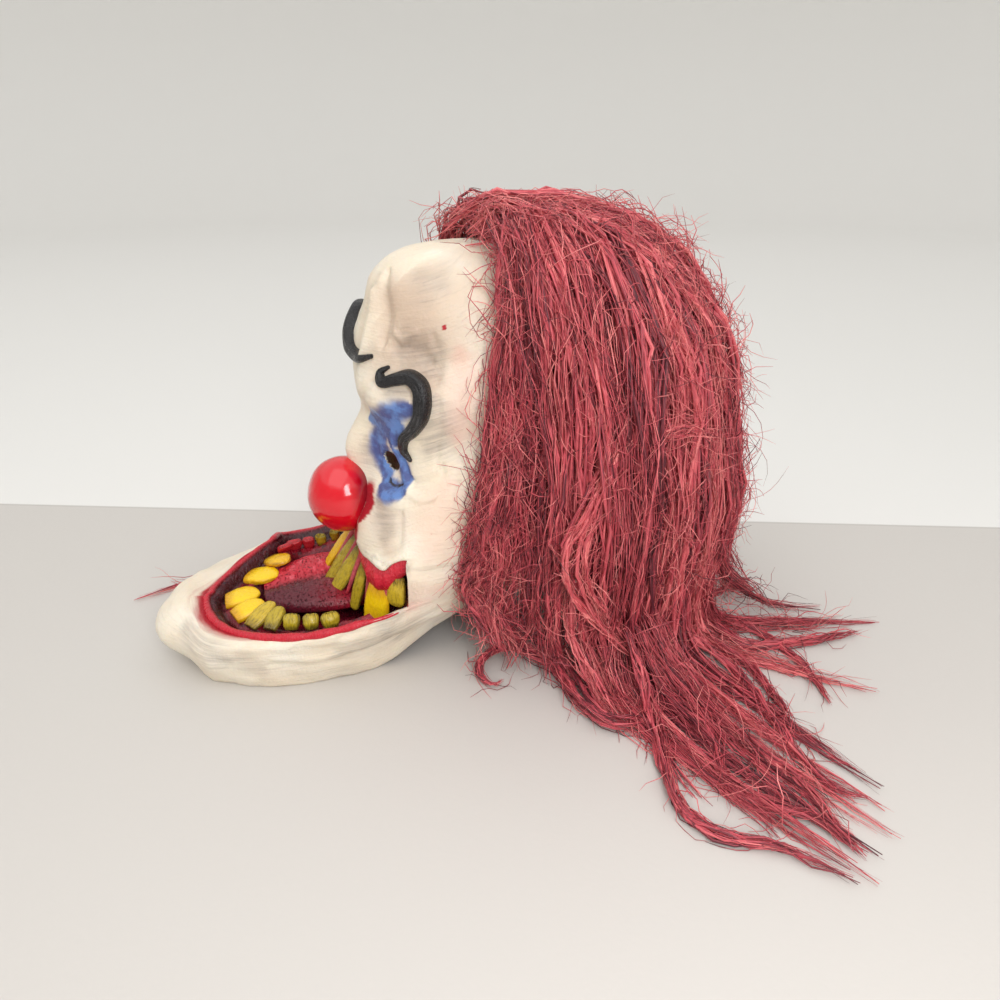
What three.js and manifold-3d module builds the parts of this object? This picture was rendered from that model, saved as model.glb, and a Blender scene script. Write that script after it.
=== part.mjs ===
// An over-the-head latex clown mask with a wide open mouth and a long red wig,
// lying on its hem on a table. Millimetres, +Z up. The face looks along -Y, and
// +X is the mask's own left side. The design axis runs up through the skull, and
// the finished group is moved so that its origin is under the middle of its box.
import * as THREE from 'three';
import Module from 'manifold-3d';

const wasm = await Module();
wasm.setup();

// Driving sizes of the shell
const HEAD_HEIGHT = 337;
const HEAD_WIDTH = 180;
const JAW_REACH = 318;
const JAW_SWAY = 10;
const FACE_REACH = 128;
const SKULL_REACH = 106;
const SKIN_WALL = 2.6;
const GAP = 0.35;
const RELIEF = 10;
const HEM_LIFT = 38;
const HEM_TRIM = 1.5;

// Driving sizes of the face
const NOSE_RADIUS = 31;
const EYE_WIDTH = 20;
const EYE_HEIGHT = 16;
const BROW_WIDTH = 13;
const BROW_DEPTH = 9;

// Driving sizes of the mouth, whose depths keep to the height of the head
const LINING_WALL = 2.4;
const TRAY_FLOOR = 0.0653 * HEAD_HEIGHT;
const GUM_HEIGHT = 0.0564 * HEAD_HEIGHT;
const GUM_DEPTH = 10;
const PALATE_WALL = 3;
const TONGUE_LENGTH = 92;
const TONGUE_WIDTH = 78;
const TONGUE_HEIGHT = 0.0356 * HEAD_HEIGHT;
const TOOTH_WIDTH = 16;
const TOOTH_LENGTH = 28;
const TOOTH_THICKNESS = 7;
const UPPER_TOOTH_LENGTH = 0.1424 * HEAD_HEIGHT;

// Driving sizes of the hair
const HAIR_PAD = 13;
const PAD_CLEARANCE = 2.2;
const HAIR_REACH = 275;
const HAIR_LIFT = 30;
const LOCK_WIDTH = 34;
const LOCK_DEPTH = 22;

// Mesh fineness
const FRONT_COLUMNS = 24;
const BACK_COLUMNS = 10;
const JAW_ROWS = 5;
const CHEEK_ROWS = 3;
const FACE_ROWS = 12;
const LIP_STEPS = 20;
const THROAT_STEPS = 5;
const GUM_STEPS = 10;
const BROW_STEPS = 14;
const TOOTH_SIDES = 6;
const LOCK_SIDES = 5;
const TONGUE_ROWS = 8;
const TONGUE_SIDES = 12;
const CAP_COLUMNS = 11;

// A table whose rows are read by the names of its columns
const table = (names, rows) => rows.map((row) => (
  Object.fromEntries(names.split(' ').map((name, i) => [name, row[i]]))
));

// Horizontal sections of the skin, from the hem to the crown. height is a share
// of HEAD_HEIGHT and half a share of half of HEAD_WIDTH. middle is the y of the
// widest place as a share of JAW_REACH. The front reaches out by jaw x JAW_REACH
// plus face x FACE_REACH, the back by back x SKULL_REACH. corner is the y of the
// column that runs up through the corner of the mouth, as a share of FACE_REACH.
// pinch narrows the back half to the neck, and square is the outline's exponent.
const SECTIONS = table('height middle half jaw face back corner pinch square', [
  [0.000, -0.535, 0.85, 0.931, 0, 0.68, -0.875, 0.40, 2.0],
  [0.036, -0.541, 0.91, 0.969, 0, 0.70, -0.875, 0.40, 2.0],
  [0.083, -0.550, 0.97, 1.000, 0, 0.72, -0.875, 0.38, 2.0],
  [0.113, -0.547, 1.01, 0.975, 0, 0.74, -0.875, 0.35, 2.0],
  [0.131, -0.541, 1.05, 0.915, 0, 0.75, -0.875, 0.33, 2.2],
  [0.142, -0.528, 1.07, 0.845, 0, 0.76, -0.875, 0.31, 2.2],
  [0.178, -0.490, 1.06, 0.730, 0, 0.78, -0.875, 0.25, 2.2],
  [0.214, -0.440, 1.05, 0.585, 0, 0.80, -0.875, 0.18, 2.1],
  [0.237, -0.402, 1.04, 0, 1.234, 0.82, -0.875, 0.13, 2.1],
  [0.255, -0.374, 1.03, 0, 1.148, 0.83, -0.875, 0.10, 2.2],
  [0.297, -0.314, 1.01, 0, 1.094, 0.86, -0.875, 0.05, 2.2],
  [0.332, -0.270, 1.00, 0, 1.047, 0.88, -0.844, 0.02, 2.3],
  [0.386, -0.204, 0.99, 0, 1.000, 0.92, -0.766, 0, 2.3],
  [0.445, -0.157, 0.99, 0, 0.970, 0.95, -0.672, 0, 2.3],
  [0.519, -0.113, 1.00, 0, 0.953, 0.98, -0.562, 0, 2.3],
  [0.608, -0.069, 1.00, 0, 0.953, 1.00, -0.469, 0, 2.3],
  [0.697, -0.044, 1.00, 0, 0.984, 0.99, -0.390, 0, 2.3],
  [0.786, -0.031, 0.97, 0, 0.969, 0.94, -0.344, 0, 2.3],
  [0.861, -0.031, 0.89, 0, 0.906, 0.85, -0.312, 0, 2.3],
  [0.914, -0.038, 0.77, 0, 0.872, 0.71, -0.297, 0, 2.2],
  [0.956, -0.057, 0.59, 0, 0.785, 0.49, -0.297, 0, 2.1],
  [0.982, -0.082, 0.40, 0, 0.655, 0.23, -0.312, 0, 2.0],
  [0.995, -0.110, 0.20, 0, 0.465, -0.12, -0.320, 0, 2.0],
]);
const CROWN = { middle: -0.126 };

// Hollows and swellings of the face, pushed along the skin's outward direction.
// x is a share of half of HEAD_WIDTH, y of FACE_REACH and z of HEAD_HEIGHT, and
// wide, deep and tall are how far each one spreads, in the same shares. lift is a
// share of RELIEF. Where mirror is true the other side has the same one.
const FEATURES = table('name x y z wide deep tall lift mirror', [
  ['near brow ridge', 0.42, -0.92, 0.690, 0.24, 0.4, 0.040, 0.9, false],
  ['far brow ridge', -0.42, -0.95, 0.750, 0.24, 0.4, 0.055, 0.4, false],
  ['forehead fold', 0.12, -0.95, 0.820, 0.06, 0.4, 0.080, -0.35, false],
  ['nose saddle', 0, -1.0, 0.612, 0.22, 0.4, 0.028, -0.25, false],
  ['nose bridge', 0, -1.0, 0.515, 0.13, 0.6, 0.062, 2.1, false],
  ['nose wing', 0.24, -1.0, 0.400, 0.15, 0.4, 0.050, 0.5, true],
  ['eye socket', 0.45, -0.9, 0.500, 0.20, 0.4, 0.042, -1.1, true],
  ['under-eye bag', 0.52, -0.9, 0.440, 0.20, 0.4, 0.016, 0.45, true],
  ['cheek', 0.72, -0.8, 0.400, 0.20, 0.4, 0.070, 0.5, true],
  ['upper lip lobe', 0.44, -1.0, 0.330, 0.20, 0.4, 0.048, 0.9, true],
  ['temple dent', 0.88, -0.55, 0.585, 0.20, 0.2, 0.050, -0.5, true],
  ['forehead dent', 0.78, -0.70, 0.760, 0.18, 0.2, 0.050, -0.55, true],
  ['chin pad', 0, -2.45, 0.080, 0.40, 0.3, 0.060, 0.3, false],
]);

// The lips: heights as shares of HEAD_HEIGHT, in the middle and at the corners
// of the mouth; the upper lip hangs down in a lobe on each side of the nose. The
// far side of the lower lip waves: it stands higher by rise at these columns.
const LOWER_LIP = { middle: 0.1395, corner: 0.203, bend: 3.5 };
const FAR_LIP = table('column rise', [
  [0, 0.002],
  [0.40, 0.037],
  [0.88, -0.022],
  [1, 0],
]);
const UPPER_LIP = { middle: 0.305, lobe: 0.262, corner: 0.320, inner: 0.12, outer: 0.42 };

// The brows: turn is the angle from straight ahead towards the brow's own side,
// height a share of HEAD_HEIGHT, size a share of the brow's width and depth.
const NEAR_BROW = table('turn height size', [
  [33, 0.757, 0.20],
  [29.5, 0.743, 0.42],
  [31.5, 0.724, 0.60],
  [37, 0.732, 0.75],
  [44, 0.739, 0.90],
  [49.5, 0.721, 1.00],
  [51, 0.688, 1.05],
  [49.5, 0.653, 0.95],
  [44, 0.617, 0.80],
  [39, 0.593, 0.65],
  [38.5, 0.564, 0.45],
  [43, 0.543, 0.20],
]);
const FAR_BROW = table('turn height size', [
  [-22, 0.772, 0.25],
  [-13, 0.758, 0.50],
  [-3, 0.752, 0.75],
  [5, 0.765, 0.90],
  [10, 0.790, 1.00],
  [14, 0.815, 1.00],
  [21, 0.832, 1.00],
  [30, 0.825, 1.00],
  [38, 0.780, 0.95],
  [40, 0.725, 0.80],
  [38, 0.680, 0.55],
  [38, 0.645, 0.20],
]);

// The lower teeth, from the near back round the front to the far back. along is
// the place on the lip line from -1 to 1 and out the share of the way out to it.
// lean is the angle in degrees that the tooth leans in from upright, and width and
// length are shares of TOOTH_WIDTH and TOOTH_LENGTH.
const LOWER_TEETH = table('along out width length lean', [
  [0.82, 0.81, 0.95, 0.50, 18],
  [0.73, 0.79, 0.78, 0.50, 20],
  [0.635, 0.78, 0.78, 0.52, 26],
  [0.535, 0.80, 0.72, 0.76, 48],
  [0.435, 0.82, 0.80, 0.98, 55],
  [0.24, 0.80, 1.10, 0.90, 62],
  [0.05, 0.80, 1.45, 0.95, 62],
  [-0.165, 0.82, 1.45, 0.85, 62],
  [-0.315, 0.84, 1.25, 0.72, 55],
  [-0.475, 0.82, 1.00, 0.50, 40],
  [-0.7, 0.80, 0.98, 0.50, 30],
  [-0.82, 0.80, 0.76, 0.48, 25],
  [-0.893, 0.79, 0.68, 0.48, 22],
  [-0.928, 0.79, 0.60, 0.48, 20],
]);

// The upper teeth, in the same columns, with the length a share of
// UPPER_TOOTH_LENGTH and the lean forward from straight down. twist turns the
// tooth's face towards +X, in degrees.
const UPPER_TEETH = table('along width length lean twist', [
  [0.77, 1.10, 0.58, 6, 14],
  [0.47, 1.55, 0.88, 8, 28],
  [0.26, 0.75, 1.00, 18, 30],
  [0.10, 1.00, 1.28, 36, 35],
  [-0.05, 1.10, 1.25, 38, 30],
  [-0.21, 0.90, 1.05, 38, 20],
  [-0.37, 0.90, 0.90, 26, -10],
  [-0.56, 1.15, 0.78, 8, -10],
  [-0.79, 1.00, 0.56, 6, -8],
]);

// The profile of the mouth tray from its rim to its middle. out is the share of
// the way out from the middle to the rim, front and back the height above the
// floor as a share of the rim's, under the lips and under the throat.
const TRAY = table('out front back', [
  [1.000, 0.80, 1.00],
  [0.985, 1.10, 0.97],
  [0.945, 1.08, 0.74],
  [0.910, 0.78, 0.54],
  [0.880, 0.64, 0.40],
  [0.810, 0.76, 0.24],
  [0.700, 0.80, 0.13],
  [0.600, 0.50, 0.07],
  [0.460, 0.14, 0.03],
  [0.230, 0.02, 0.01],
]);
const TRAY_MIDDLE = { x: -0.06, y: -0.566 };
const THROAT = { y: -0.815, height: 0.272 };

// The edge of the wig: y as a share of FACE_REACH at shares of HEAD_HEIGHT
const HAIRLINE = table('height y', [
  [0.20, -0.42],
  [0.31, -0.46],
  [0.43, -0.42],
  [0.56, -0.36],
  [0.69, -0.27],
  [0.80, -0.18],
  [0.89, -0.13],
  [0.95, -0.15],
  [0.985, -0.26],
]);

// The locks of the wig. turn is the angle of the root from straight ahead, towards
// +X; foot is x, y and z of where the lock stops falling, and tail its points on
// the table, all as shares of HAIR_REACH; wide is a share of LOCK_WIDTH.
const LOCKS = table('name turn foot tail wide', [
  ['near edge', 112, [0.360, -0.190, 0.24], [], 0.85],
  ['near front', 116, [0.405, -0.080, 0.12], [[0.42, -0.15, 0]], 1.00],
  ['near side', 120, [0.470, 0.020, 0.03], [[0.62, 0.08, 0]], 1.10],
  ['low tail', 124, [0.520, 0.110, 0.03], [[0.78, 0.15, 0], [1.06, 0.17, 0]], 1.10],
  ['long tail', 128, [0.550, 0.200, 0.03], [[0.90, 0.22, 0], [1.36, 0.42, 0]], 1.15],
  ['middle tail', 134, [0.535, 0.310, 0.03], [[0.88, 0.38, 0], [1.28, 0.54, 0]], 1.10],
  ['upper tail', 142, [0.490, 0.430, 0.03], [[0.82, 0.52, 0], [1.14, 0.62, 0]], 1.05],
  ['back tail', 150, [0.390, 0.590, 0.03], [[0.48, 0.86, 0], [0.56, 1.15, 0]], 1.15],
  ['back near', 164, [0.240, 0.740, 0.03], [[0.32, 0.88, 0]], 1.35],
  ['back outer', 179, [0.060, 0.870, 0.03], [], 1.25],
  ['back far', 194, [-0.090, 0.770, 0.03], [], 1.40],
  ['far back', 208, [-0.215, 0.610, 0.03], [], 1.45],
  ['far quarter', 222, [-0.315, 0.420, 0.03], [], 1.45],
  ['far side', 238, [-0.390, 0.220, 0.03], [], 1.40],
  ['far ear', 252, [-0.415, 0.040, 0.03], [], 1.35],
  ['far wisp', 262, [-0.390, -0.120, 0.06], [[-0.45, -0.60, 0], [-0.43, -1.05, 0], [-0.36, -1.30, 0]], 0.70],
  ['inner near', 112, [0.420, 0.170, 0.03], [], 1.20],
  ['inner quarter', 136, [0.360, 0.350, 0.03], [], 1.20],
]);

const radians = (degrees) => degrees * Math.PI / 180;
const signedPower = (value, power) => Math.sign(value) * Math.abs(value) ** power;
const mix = (a, b, share) => a + (b - a) * share;
const clamp01 = (value) => Math.min(1, Math.max(0, value));
const ease = (from, to, value) => {
  const share = clamp01((value - from) / (to - from));
  return share * share * (3 - 2 * share);
};

// Slope of a smooth curve through a table's rows, without overshoot
function slopeAt(rows, key, index) {
  if (index === 0 || index === rows.length - 1) {
    const [a, b] = index === 0 ? [rows[0], rows[1]] : [rows[index - 1], rows[index]];
    return (b[key] - a[key]) / (b.height - a.height);
  }
  const before = (rows[index][key] - rows[index - 1][key]) / (rows[index].height - rows[index - 1].height);
  const after = (rows[index + 1][key] - rows[index][key]) / (rows[index + 1].height - rows[index].height);
  return before * after <= 0 ? 0 : 2 * before * after / (before + after);
}

// The section of the skin at a height, read smoothly between the table's rows
function sectionAt(z) {
  const last = SECTIONS.length - 1;
  const height = Math.min(Math.max(z / HEAD_HEIGHT, 0), SECTIONS[last].height);
  let index = SECTIONS.findIndex((row, i) => i < last && height <= SECTIONS[i + 1].height);
  index = Math.max(index, 0);
  const a = SECTIONS[index];
  const b = SECTIONS[index + 1];
  const span = b.height - a.height;
  const s = (height - a.height) / span;
  const value = (key) => {
    const m0 = slopeAt(SECTIONS, key, index) * span;
    const m1 = slopeAt(SECTIONS, key, index + 1) * span;
    return (2 * s ** 3 - 3 * s ** 2 + 1) * a[key] + (s ** 3 - 2 * s ** 2 + s) * m0
      + (3 * s ** 2 - 2 * s ** 3) * b[key] + (s ** 3 - s ** 2) * m1;
  };
  const middle = value('middle') * JAW_REACH;
  return {
    middle,
    half: value('half') * HEAD_WIDTH / 2,
    front: middle + value('jaw') * JAW_REACH + value('face') * FACE_REACH,
    back: value('back') * SKULL_REACH - middle,
    corner: value('corner') * FACE_REACH,
    pinch: value('pinch'),
    square: value('square'),
  };
}

// The point of a section at a turn from straight ahead, towards +X
function outlinePoint(section, turn, z) {
  const c = Math.cos(turn);
  const s = Math.sin(turn);
  const power = 2 / section.square;
  const narrow = 1 - section.pinch * ease(0, 0.6, -c);
  const reach = c > 0 ? section.front : section.back;
  const y = section.middle - reach * signedPower(c, power);
  const low = clamp01(z / (LOWER_LIP.middle * HEAD_HEIGHT));
  const sway = JAW_SWAY * low * ease(-0.38 * JAW_REACH, -0.72 * JAW_REACH, y);
  return new THREE.Vector3(section.half * signedPower(s, power) * narrow - sway, y, z);
}

// The turn at which a section's outline has a given y
function turnAtDepth(section, y) {
  const ahead = section.middle - y;
  const reach = ahead > 0 ? section.front : section.back;
  return Math.acos(signedPower(ahead / reach, section.square / 2));
}

// The turn of a column: columns -1 to 1 span the front between the corner lines,
// and columns out to -2 and 2 meet at the middle of the back.
function columnTurn(section, column) {
  const corner = turnAtDepth(section, section.corner);
  const size = Math.abs(column);
  const turn = size <= 1 ? size * corner : mix(corner, Math.PI, size - 1);
  return Math.sign(column) * turn;
}

function bareSkin(column, z) {
  const section = sectionAt(z);
  return outlinePoint(section, columnTurn(section, column), z);
}

// How far the face's features push the skin out at a point
function reliefAt(point) {
  let push = 0;
  for (const f of FEATURES) {
    for (const side of f.mirror ? [1, -1] : [1]) {
      const dx = (point.x / (HEAD_WIDTH / 2) - side * f.x) / f.wide;
      const dy = (point.y / FACE_REACH - f.y) / f.deep;
      const dz = (point.z / HEAD_HEIGHT - f.z) / f.tall;
      push += f.lift * RELIEF * Math.exp(-(dx * dx + dy * dy + dz * dz) / 2);
    }
  }
  return push;
}

// A point of the skin's outer face, and the direction that it faces there
function skinPoint(column, z, out = 0) {
  const step = 0.01;
  const point = bareSkin(column, z);
  const across = bareSkin(column + step, z).sub(bareSkin(column - step, z));
  const rise = HEAD_HEIGHT * step;
  const up = bareSkin(column, z + rise).sub(bareSkin(column, z - rise));
  const normal = across.cross(up).normalize();
  return { point: point.addScaledVector(normal, reliefAt(point) + out), normal };
}

// The column through a turn at a height, used where a piece is placed by its turn
function columnAt(turnDegrees, z) {
  const section = sectionAt(z);
  const turn = Math.abs(radians(turnDegrees));
  const corner = columnTurn(section, 1);
  const size = turn <= corner ? turn / corner : 1 + (turn - corner) / (Math.PI - corner);
  return Math.sign(turnDegrees) * size;
}

// The height of the lower lip's line and of the upper lip's, at a column
function lowerLip(column) {
  const size = Math.min(Math.abs(column), 1);
  const level = mix(LOWER_LIP.middle, LOWER_LIP.corner, size ** LOWER_LIP.bend);
  if (column > 0) return HEAD_HEIGHT * level;
  const next = FAR_LIP.findIndex((row, i) => i > 0 && size <= row.column);
  const [a, b] = [FAR_LIP[next - 1], FAR_LIP[next]];
  return HEAD_HEIGHT * (level + mix(a.rise, b.rise, ease(a.column, b.column, size)));
}

function upperLip(column) {
  const size = Math.abs(column);
  const inner = mix(UPPER_LIP.middle, UPPER_LIP.lobe, ease(UPPER_LIP.inner, UPPER_LIP.outer, size));
  return HEAD_HEIGHT * mix(inner, UPPER_LIP.corner, ease(UPPER_LIP.outer, 1, size));
}

// The hem stands on the table under the jaw and at the nape, and lifts between
function hemHeight(column) {
  const y = bareSkin(column, 0).y;
  const rising = ease(-0.48 * JAW_REACH, -0.14 * JAW_REACH, y);
  const falling = ease(0.1 * SKULL_REACH, 0.6 * SKULL_REACH, y);
  return HEM_LIFT * rising * (1 - falling) - HEM_TRIM;
}

// A slab under the table's surface, which trims what reaches below it flat
function underTable() {
  const slab = new THREE.BoxGeometry(4 * JAW_REACH, 4 * JAW_REACH, 4 * HEM_TRIM);
  slab.translate(0, 0, -2 * HEM_TRIM);
  return solidOf(weld(slab));
}

// An open sheet of triangles from rows of points; keep says which cells are there
function gridSheet(rows, { wrap = false, keep = () => true } = {}) {
  const width = rows[0].length;
  const points = rows.flat();
  const faces = [];
  for (let row = 0; row + 1 < rows.length; row += 1) {
    for (let col = 0; col < (wrap ? width : width - 1); col += 1) {
      if (!keep(col, row)) continue;
      const next = (col + 1) % width;
      const [a, b] = [row * width + col, row * width + next];
      const [d, c] = [a + width, b + width];
      faces.push([a, b, c], [a, c, d]);
    }
  }
  return { points, faces };
}

// The middle of a ring of points
const middleOf = (ring) => (
  ring.reduce((sum, p) => sum.add(p), new THREE.Vector3()).divideScalar(ring.length)
);

// Adds a point that closes a sheet's ring of points, first to last
function closeRing(sheet, ring, point, flip = false) {
  const tip = sheet.points.push(point) - 1;
  ring.forEach((a, i) => {
    const b = ring[(i + 1) % ring.length];
    sheet.faces.push(flip ? [b, a, tip] : [a, b, tip]);
  });
  return sheet;
}

function pointNormals(sheet) {
  const normals = sheet.points.map(() => new THREE.Vector3());
  for (const [a, b, c] of sheet.faces) {
    const ab = sheet.points[b].clone().sub(sheet.points[a]);
    const ac = sheet.points[c].clone().sub(sheet.points[a]);
    const area = ab.cross(ac);
    [a, b, c].forEach((i) => normals[i].add(area));
  }
  return normals.map((normal) => normal.normalize());
}

// A closed solid between a sheet moved out and the same sheet moved in
function thicken(sheet, outward, inward, direction = null) {
  const count = sheet.points.length;
  const normals = direction ? sheet.points.map(() => direction) : pointNormals(sheet);
  const amount = (value, i) => (typeof value === 'function' ? value(i) : value);
  const outer = sheet.points.map((p, i) => p.clone().addScaledVector(normals[i], amount(outward, i)));
  const inner = sheet.points.map((p, i) => p.clone().addScaledVector(normals[i], -amount(inward, i)));
  const faces = [];
  const edges = new Set();
  for (const [a, b, c] of sheet.faces) {
    faces.push([a, b, c], [a + count, c + count, b + count]);
    for (const [p, q] of [[a, b], [b, c], [c, a]]) edges.add(`${p} ${q}`);
  }
  for (const edge of edges) {
    const [a, b] = edge.split(' ').map(Number);
    if (edges.has(`${b} ${a}`)) continue;
    faces.push([b, a, a + count], [b, a + count, b + count]);
  }
  return solidOf({ points: outer.concat(inner), faces });
}

// A solid from a closed mesh; points that no face uses are dropped
function solidOf({ points, faces }) {
  const used = new Map();
  const kept = [];
  const triVerts = faces.flat().map((i) => {
    if (!used.has(i)) {
      used.set(i, kept.length);
      kept.push(points[i]);
    }
    return used.get(i);
  });
  const mesh = new wasm.Mesh({
    numProp: 3,
    vertProperties: new Float32Array(kept.flatMap((p) => [p.x, p.y, p.z])),
    triVerts: new Uint32Array(triVerts),
  });
  return new wasm.Manifold(mesh);
}

function meshOf(name, solid, look) {
  const data = solid.getMesh();
  const geometry = new THREE.BufferGeometry();
  geometry.setAttribute('position', new THREE.BufferAttribute(data.vertProperties, 3));
  geometry.setIndex(new THREE.BufferAttribute(data.triVerts, 1));
  geometry.computeVertexNormals();
  const mesh = new THREE.Mesh(geometry, new THREE.MeshStandardMaterial(look));
  mesh.name = name;
  return mesh;
}

// A tube of changing oval section along a curve, closed at both ends. Each stop
// has a point, a half width along its own side direction and a half depth.
function sweep(stops, sides, floor = -Infinity) {
  const rings = stops.map((stop, i) => {
    const before = stops[Math.max(i - 1, 0)].point;
    const after = stops[Math.min(i + 1, stops.length - 1)].point;
    const along = after.clone().sub(before).normalize();
    const side = stop.side.clone().addScaledVector(along, -stop.side.dot(along)).normalize();
    const up = along.clone().cross(side);
    return Array.from({ length: sides }, (_, k) => {
      const angle = 2 * Math.PI * (k + 0.5) / sides;
      const p = stop.point.clone()
        .addScaledVector(side, stop.half * Math.cos(angle))
        .addScaledVector(up, stop.deep * Math.sin(angle));
      p.z = Math.max(p.z, floor);
      return p;
    });
  });
  const sheet = gridSheet(rings, { wrap: true });
  const first = Array.from({ length: sides }, (_, k) => k);
  const last = first.map((k) => k + sides * (rings.length - 1));
  closeRing(sheet, first, middleOf(rings[0]), true);
  closeRing(sheet, last, middleOf(rings[rings.length - 1]));
  return solidOf(sheet);
}

const joined = (solids) => solids.reduce((sum, solid) => sum.add(solid));

// A solid with a room cut from it, without the chips that the cut leaves loose
function cutFrom(solid, room) {
  const pieces = solid.subtract(room).decompose();
  return pieces.reduce((largest, piece) => (piece.volume() > largest.volume() ? piece : largest));
}

// Skin: the columns and rows of the shell's grid
const columns = [
  ...Array.from({ length: FRONT_COLUMNS + 1 }, (_, i) => mix(-1, 1, i / FRONT_COLUMNS)),
  ...Array.from({ length: BACK_COLUMNS - 1 }, (_, i) => {
    const column = 1 + 2 * (i + 1) / BACK_COLUMNS;
    return column > 2 ? column - 4 : column;
  }),
];

function skinRows() {
  const rows = [];
  for (let i = 0; i <= JAW_ROWS; i += 1) {
    const share = 1 - (1 - i / JAW_ROWS) ** 1.3;
    rows.push(columns.map((q) => mix(hemHeight(q), lowerLip(q), share)));
  }
  for (let i = 1; i <= CHEEK_ROWS; i += 1) {
    rows.push(columns.map((q) => mix(lowerLip(q), upperLip(q), i / CHEEK_ROWS)));
  }
  const top = SECTIONS[SECTIONS.length - 1].height * HEAD_HEIGHT;
  for (let i = 1; i <= FACE_ROWS; i += 1) {
    const share = Math.sin(Math.PI / 2 * i / FACE_ROWS) * 0.45 + 0.55 * i / FACE_ROWS;
    rows.push(columns.map((q) => mix(upperLip(q), top, share)));
  }
  return rows.map((heights) => heights.map((z, i) => skinPoint(columns[i], z).point));
}

function skinSheet({ mouthOpen }) {
  const rows = skinRows();
  const isMouth = (col, row) => col < FRONT_COLUMNS && row >= JAW_ROWS && row < JAW_ROWS + CHEEK_ROWS;
  const sheet = gridSheet(rows, { wrap: true, keep: (col, row) => !(mouthOpen && isMouth(col, row)) });
  const start = (rows.length - 1) * columns.length;
  const crown = new THREE.Vector3(0, CROWN.middle * JAW_REACH, HEAD_HEIGHT);
  return closeRing(sheet, columns.map((_, i) => start + i), crown);
}

// The shell's own wall, grown by a clearance on both faces
const skinWall = (grow) => thicken(skinSheet({ mouthOpen: true }), grow, SKIN_WALL + grow);

// Everything inside the shell's outer face, grown by a clearance
function headMass(grow) {
  const sheet = skinSheet({ mouthOpen: false });
  const normals = pointNormals(sheet);
  sheet.points.forEach((p, i) => p.addScaledVector(normals[i], grow));
  const under = new THREE.Vector3(0, SECTIONS[0].middle * JAW_REACH * 0.6, -2 * HEM_TRIM);
  return solidOf(closeRing(sheet, columns.map((_, i) => i), under, true));
}

// An oval prism that cuts an eye hole straight through the front of the face
function eyeCut(side) {
  const shape = new THREE.Shape();
  shape.absellipse(0, 0, EYE_WIDTH / 2, EYE_HEIGHT / 2, 0, 2 * Math.PI, false, 0);
  const depth = FACE_REACH * 0.6;
  const geometry = new THREE.ExtrudeGeometry(shape, { depth, bevelEnabled: false, curveSegments: 7 });
  geometry.rotateX(Math.PI / 2);
  geometry.rotateZ(side * radians(18));
  const x = side * 0.29 * HEAD_WIDTH / 2;
  geometry.translate(x, -0.62 * FACE_REACH, 0.515 * HEAD_HEIGHT);
  return solidOf(weld(geometry));
}

// A geometry's points with those at the same place made one
function weld(geometry) {
  const position = geometry.getAttribute('position');
  const known = new Map();
  const points = [];
  const indexOf = (i) => {
    const p = new THREE.Vector3().fromBufferAttribute(position, i);
    const key = p.toArray().map((value) => Math.round(value * 1e4)).join(' ');
    if (!known.has(key)) {
      known.set(key, points.length);
      points.push(p);
    }
    return known.get(key);
  };
  const order = geometry.index ? Array.from(geometry.index.array) : [...Array(position.count).keys()];
  const faces = [];
  for (let i = 0; i < order.length; i += 3) {
    const face = [indexOf(order[i]), indexOf(order[i + 1]), indexOf(order[i + 2])];
    if (new Set(face).size === 3) faces.push(face);
  }
  return { points, faces };
}

function skin() {
  return skinWall(0).subtract(eyeCut(1)).subtract(eyeCut(-1)).subtract(underTable());
}

// Nose: a ball seated in the face under the bridge
const NOSE = { y: -1.172 * FACE_REACH, z: 0.399 * HEAD_HEIGHT };

function nose(face) {
  const ball = new THREE.SphereGeometry(NOSE_RADIUS, 18, 11);
  ball.rotateX(Math.PI / 2);
  ball.translate(0, NOSE.y, NOSE.z);
  return cutFrom(solidOf(weld(ball)), face);
}

// Brow: a tapered curl of oval section lying on the skin
function brow(route, side, face) {
  const centre = route.map(({ turn, height }) => {
    const z = height * HEAD_HEIGHT;
    return skinPoint(columnAt(side * turn, z), z, BROW_DEPTH * 0.1);
  });
  const path = new THREE.CatmullRomCurve3(centre.map((c) => c.point));
  const facing = new THREE.CatmullRomCurve3(centre.map((c) => c.normal));
  const stops = Array.from({ length: BROW_STEPS + 1 }, (_, i) => {
    const t = i / BROW_STEPS;
    const place = t * (route.length - 1);
    const k = Math.min(Math.floor(place), route.length - 2);
    const size = mix(route[k].size, route[k + 1].size, place - k);
    const normal = facing.getPoint(t).normalize();
    return {
      point: path.getPoint(t),
      side: path.getTangent(t).cross(normal),
      half: size * BROW_WIDTH / 2,
      deep: Math.min(size, 1) * BROW_DEPTH,
    };
  });
  return cutFrom(sweep(stops, TOOTH_SIDES), face);
}

// Mouth: the closed line that the tray's rim follows, just inside the shell
function trayRim() {
  const inset = -(SKIN_WALL + 2 * GAP);
  const lip = Array.from({ length: LIP_STEPS + 1 }, (_, i) => {
    const column = mix(-1, 1, i / LIP_STEPS);
    const { point, normal } = skinPoint(column, lowerLip(column));
    normal.z = 0;
    return { rim: point.addScaledVector(normal.normalize(), inset), back: 0 };
  });
  const corner = lip[lip.length - 1].rim;
  const throat = Array.from({ length: THROAT_STEPS - 1 }, (_, i) => {
    const share = (i + 1) / THROAT_STEPS;
    const bow = Math.sin(Math.PI * share) ** 0.6;
    const rim = new THREE.Vector3(
      corner.x * (1 - 2 * share),
      mix(corner.y, THROAT.y * FACE_REACH, bow),
      mix(corner.z, THROAT.height * HEAD_HEIGHT, bow ** 0.7),
    );
    return { rim, back: bow ** 0.7 };
  });
  return lip.concat(throat);
}

const trayMiddle = () => (
  new THREE.Vector3(TRAY_MIDDLE.x * HEAD_WIDTH / 2, TRAY_MIDDLE.y * JAW_REACH, TRAY_FLOOR)
);

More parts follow.
